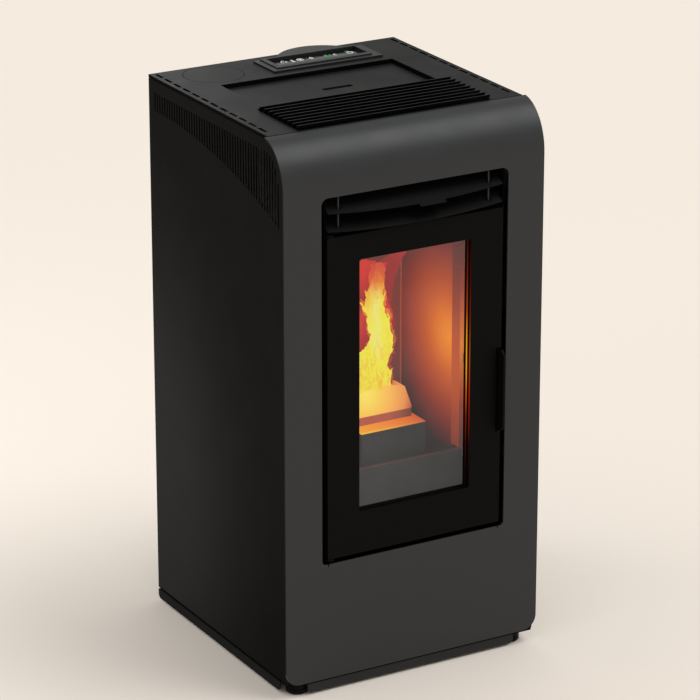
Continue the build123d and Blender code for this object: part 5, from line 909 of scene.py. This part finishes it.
# Symbols: colour, and strokes as a function and its numbers. Depths are counted from the
# front panel's face.
SYMBOLS = {
    "icon_fan": ("icon_white", [(fan, -6.3, 420, 3.2, 2.6, 1.0, 100)]),
    "icon_level": ("icon_white", [(bar, 10, 424, 1.8, 1.6), (bar, 10, 417.5, 8.0, 2.6, 90),
                                  (bar, 10, 413.4, 5.0, 1.4)]),
    "icon_drum": ("icon_white", [(arc, 25, 419.5, 5.4, 1.2, 20, 340, 16), (bar, 25, 419.5, 6.0, 1.3, 45),
                                 (bar, 25, 419.5, 6.0, 1.3, 135)]),
    "icon_hook": ("icon_white", [(arc, 46, 419, 3.4, 1.2, 60, 300, 9), (bar, 47.5, 419, 5.0, 1.2)]),
    "icon_digits": ("icon_green", [(digit, "2", 73.5, 418.5, 2.1, 3.9, 1.1),
                                   (digit, "1", 78.5, 418.5, 2.1, 3.9, 1.1), (bar, 82.4, 414.8, 1.0, 1.0)]),
    "icon_degree": ("icon_white", [(arc, 91, 418, 3.0, 1.1, 50, 310, 9)]),
    "icon_switch": ("icon_white", [(arc, 119, 417.5, 5.0, 1.3, 120, 420, 14),
                                   (bar, 119, 421.5, 5.0, 1.3, 90)]),
    "icon_lamp": ("icon_green", [(bar, 117, 426.5, 6.0, 1.3)]),
}


def icon_finish(name):
    """A lit mark of the display."""
    finish = Finish(name)
    finish.surface(Base_Color=ICON_DARK, Roughness=0.4)
    return lit(finish, finish.mottled(finish.grain(ICON_GRAIN), ICON_COLOURS[name], 0.8, 1.0))


def dress_display():
    finishes = {name: icon_finish(name) for name in ICON_COLOURS}
    for name, (colour, strokes) in SYMBOLS.items():
        mesh = bmesh.new()
        for draw, *numbers in strokes:
            draw(mesh, *numbers)
        piece = add_mesh(name, mesh)
        piece.data.materials.append(finishes[colour].material)
        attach(piece, "stove")


# ---- Setting ------------------------------------------------------------------------
def make_floor():
    mesh = bmesh.new()
    bmesh.ops.create_circle(mesh, cap_ends=True, segments=FLOOR_SIDES, radius=FLOOR_RADIUS)
    floor = add_mesh("floor", mesh)
    finish = Finish("floor")
    cloud = finish.grain(FLOOR_GRAIN)
    finish.surface(Base_Color=finish.mottled(cloud, FLOOR_COLOUR, 1 - FLOOR_MOTTLE, 1 + FLOOR_MOTTLE),
                   Roughness=1.0, Specular_IOR_Level=0.0)
    floor.data.materials.append(finish.material)


def make_world():
    """Even studio light; the camera and what looks through glass see a pale background."""
    world = bpy.data.worlds.new("studio")
    bpy.context.scene.world = world
    world.use_nodes = True
    nodes = Nodes(world.node_tree)
    light = nodes.tree.nodes["Background"]
    nodes.fill(light, Color=SKY_COLOUR, Strength=SKY_STRENGTH)
    seen = nodes.add("ShaderNodeBackground")
    nodes.fill(seen, Color=BACKGROUND)
    path = nodes.add("ShaderNodeLightPath")
    either = nodes.maths("MAXIMUM", path.outputs["Is Camera Ray"], path.outputs["Is Transmission Ray"])
    mix = nodes.add("ShaderNodeMixShader")
    nodes.give(mix.inputs["Fac"], either)
    nodes.give(mix.inputs[1], light.outputs["Background"])
    nodes.give(mix.inputs[2], seen.outputs["Background"])
    nodes.fill(nodes.tree.nodes["World Output"], Surface=mix.outputs["Shader"])


def make_soft_lamp(name, place, aim, size, power, lights):
    """Broad soft lamp, out of the camera's sight, that either lights or shines."""
    lamp = add_lamp(name, "AREA", power, shape="DISK", size=size)
    lamp.location = place
    lamp.rotation_euler = (place - aim).to_track_quat("Z", "Y").to_euler()
    lamp.visible_camera = False
    lamp.visible_diffuse = lights
    lamp.visible_glossy = not lights


def make_sun():
    """Soft key light from the front right."""
    lamp = add_lamp("soft_key", "SUN", SUN_STRENGTH, angle=SUN_ANGLE)
    lamp.rotation_euler = SUN_FROM.to_track_quat("Z", "Y").to_euler()


def make_camera():
    lens = bpy.data.cameras.new("camera")
    lens.sensor_width = SENSOR
    lens.lens = LENS
    lens.clip_end = CLIP_END
    camera = add_object("camera", lens)
    camera.location = CAMERA_PLACE
    camera.rotation_euler = CAMERA_LOOK.to_track_quat("-Z", "Y").to_euler()
    bpy.context.scene.camera = camera


make_camera()
make_floor()
make_world()
make_sun()
for soft_lamp in SOFT_LAMPS:
    make_soft_lamp(*soft_lamp)
dress_nodes()
noise.seed_set(NOISE_SEED)
for layer in LAYERS:
    flame_layer(layer)
fire_light()
dress_display()
bpy.context.scene.view_settings.view_transform = "Standard"
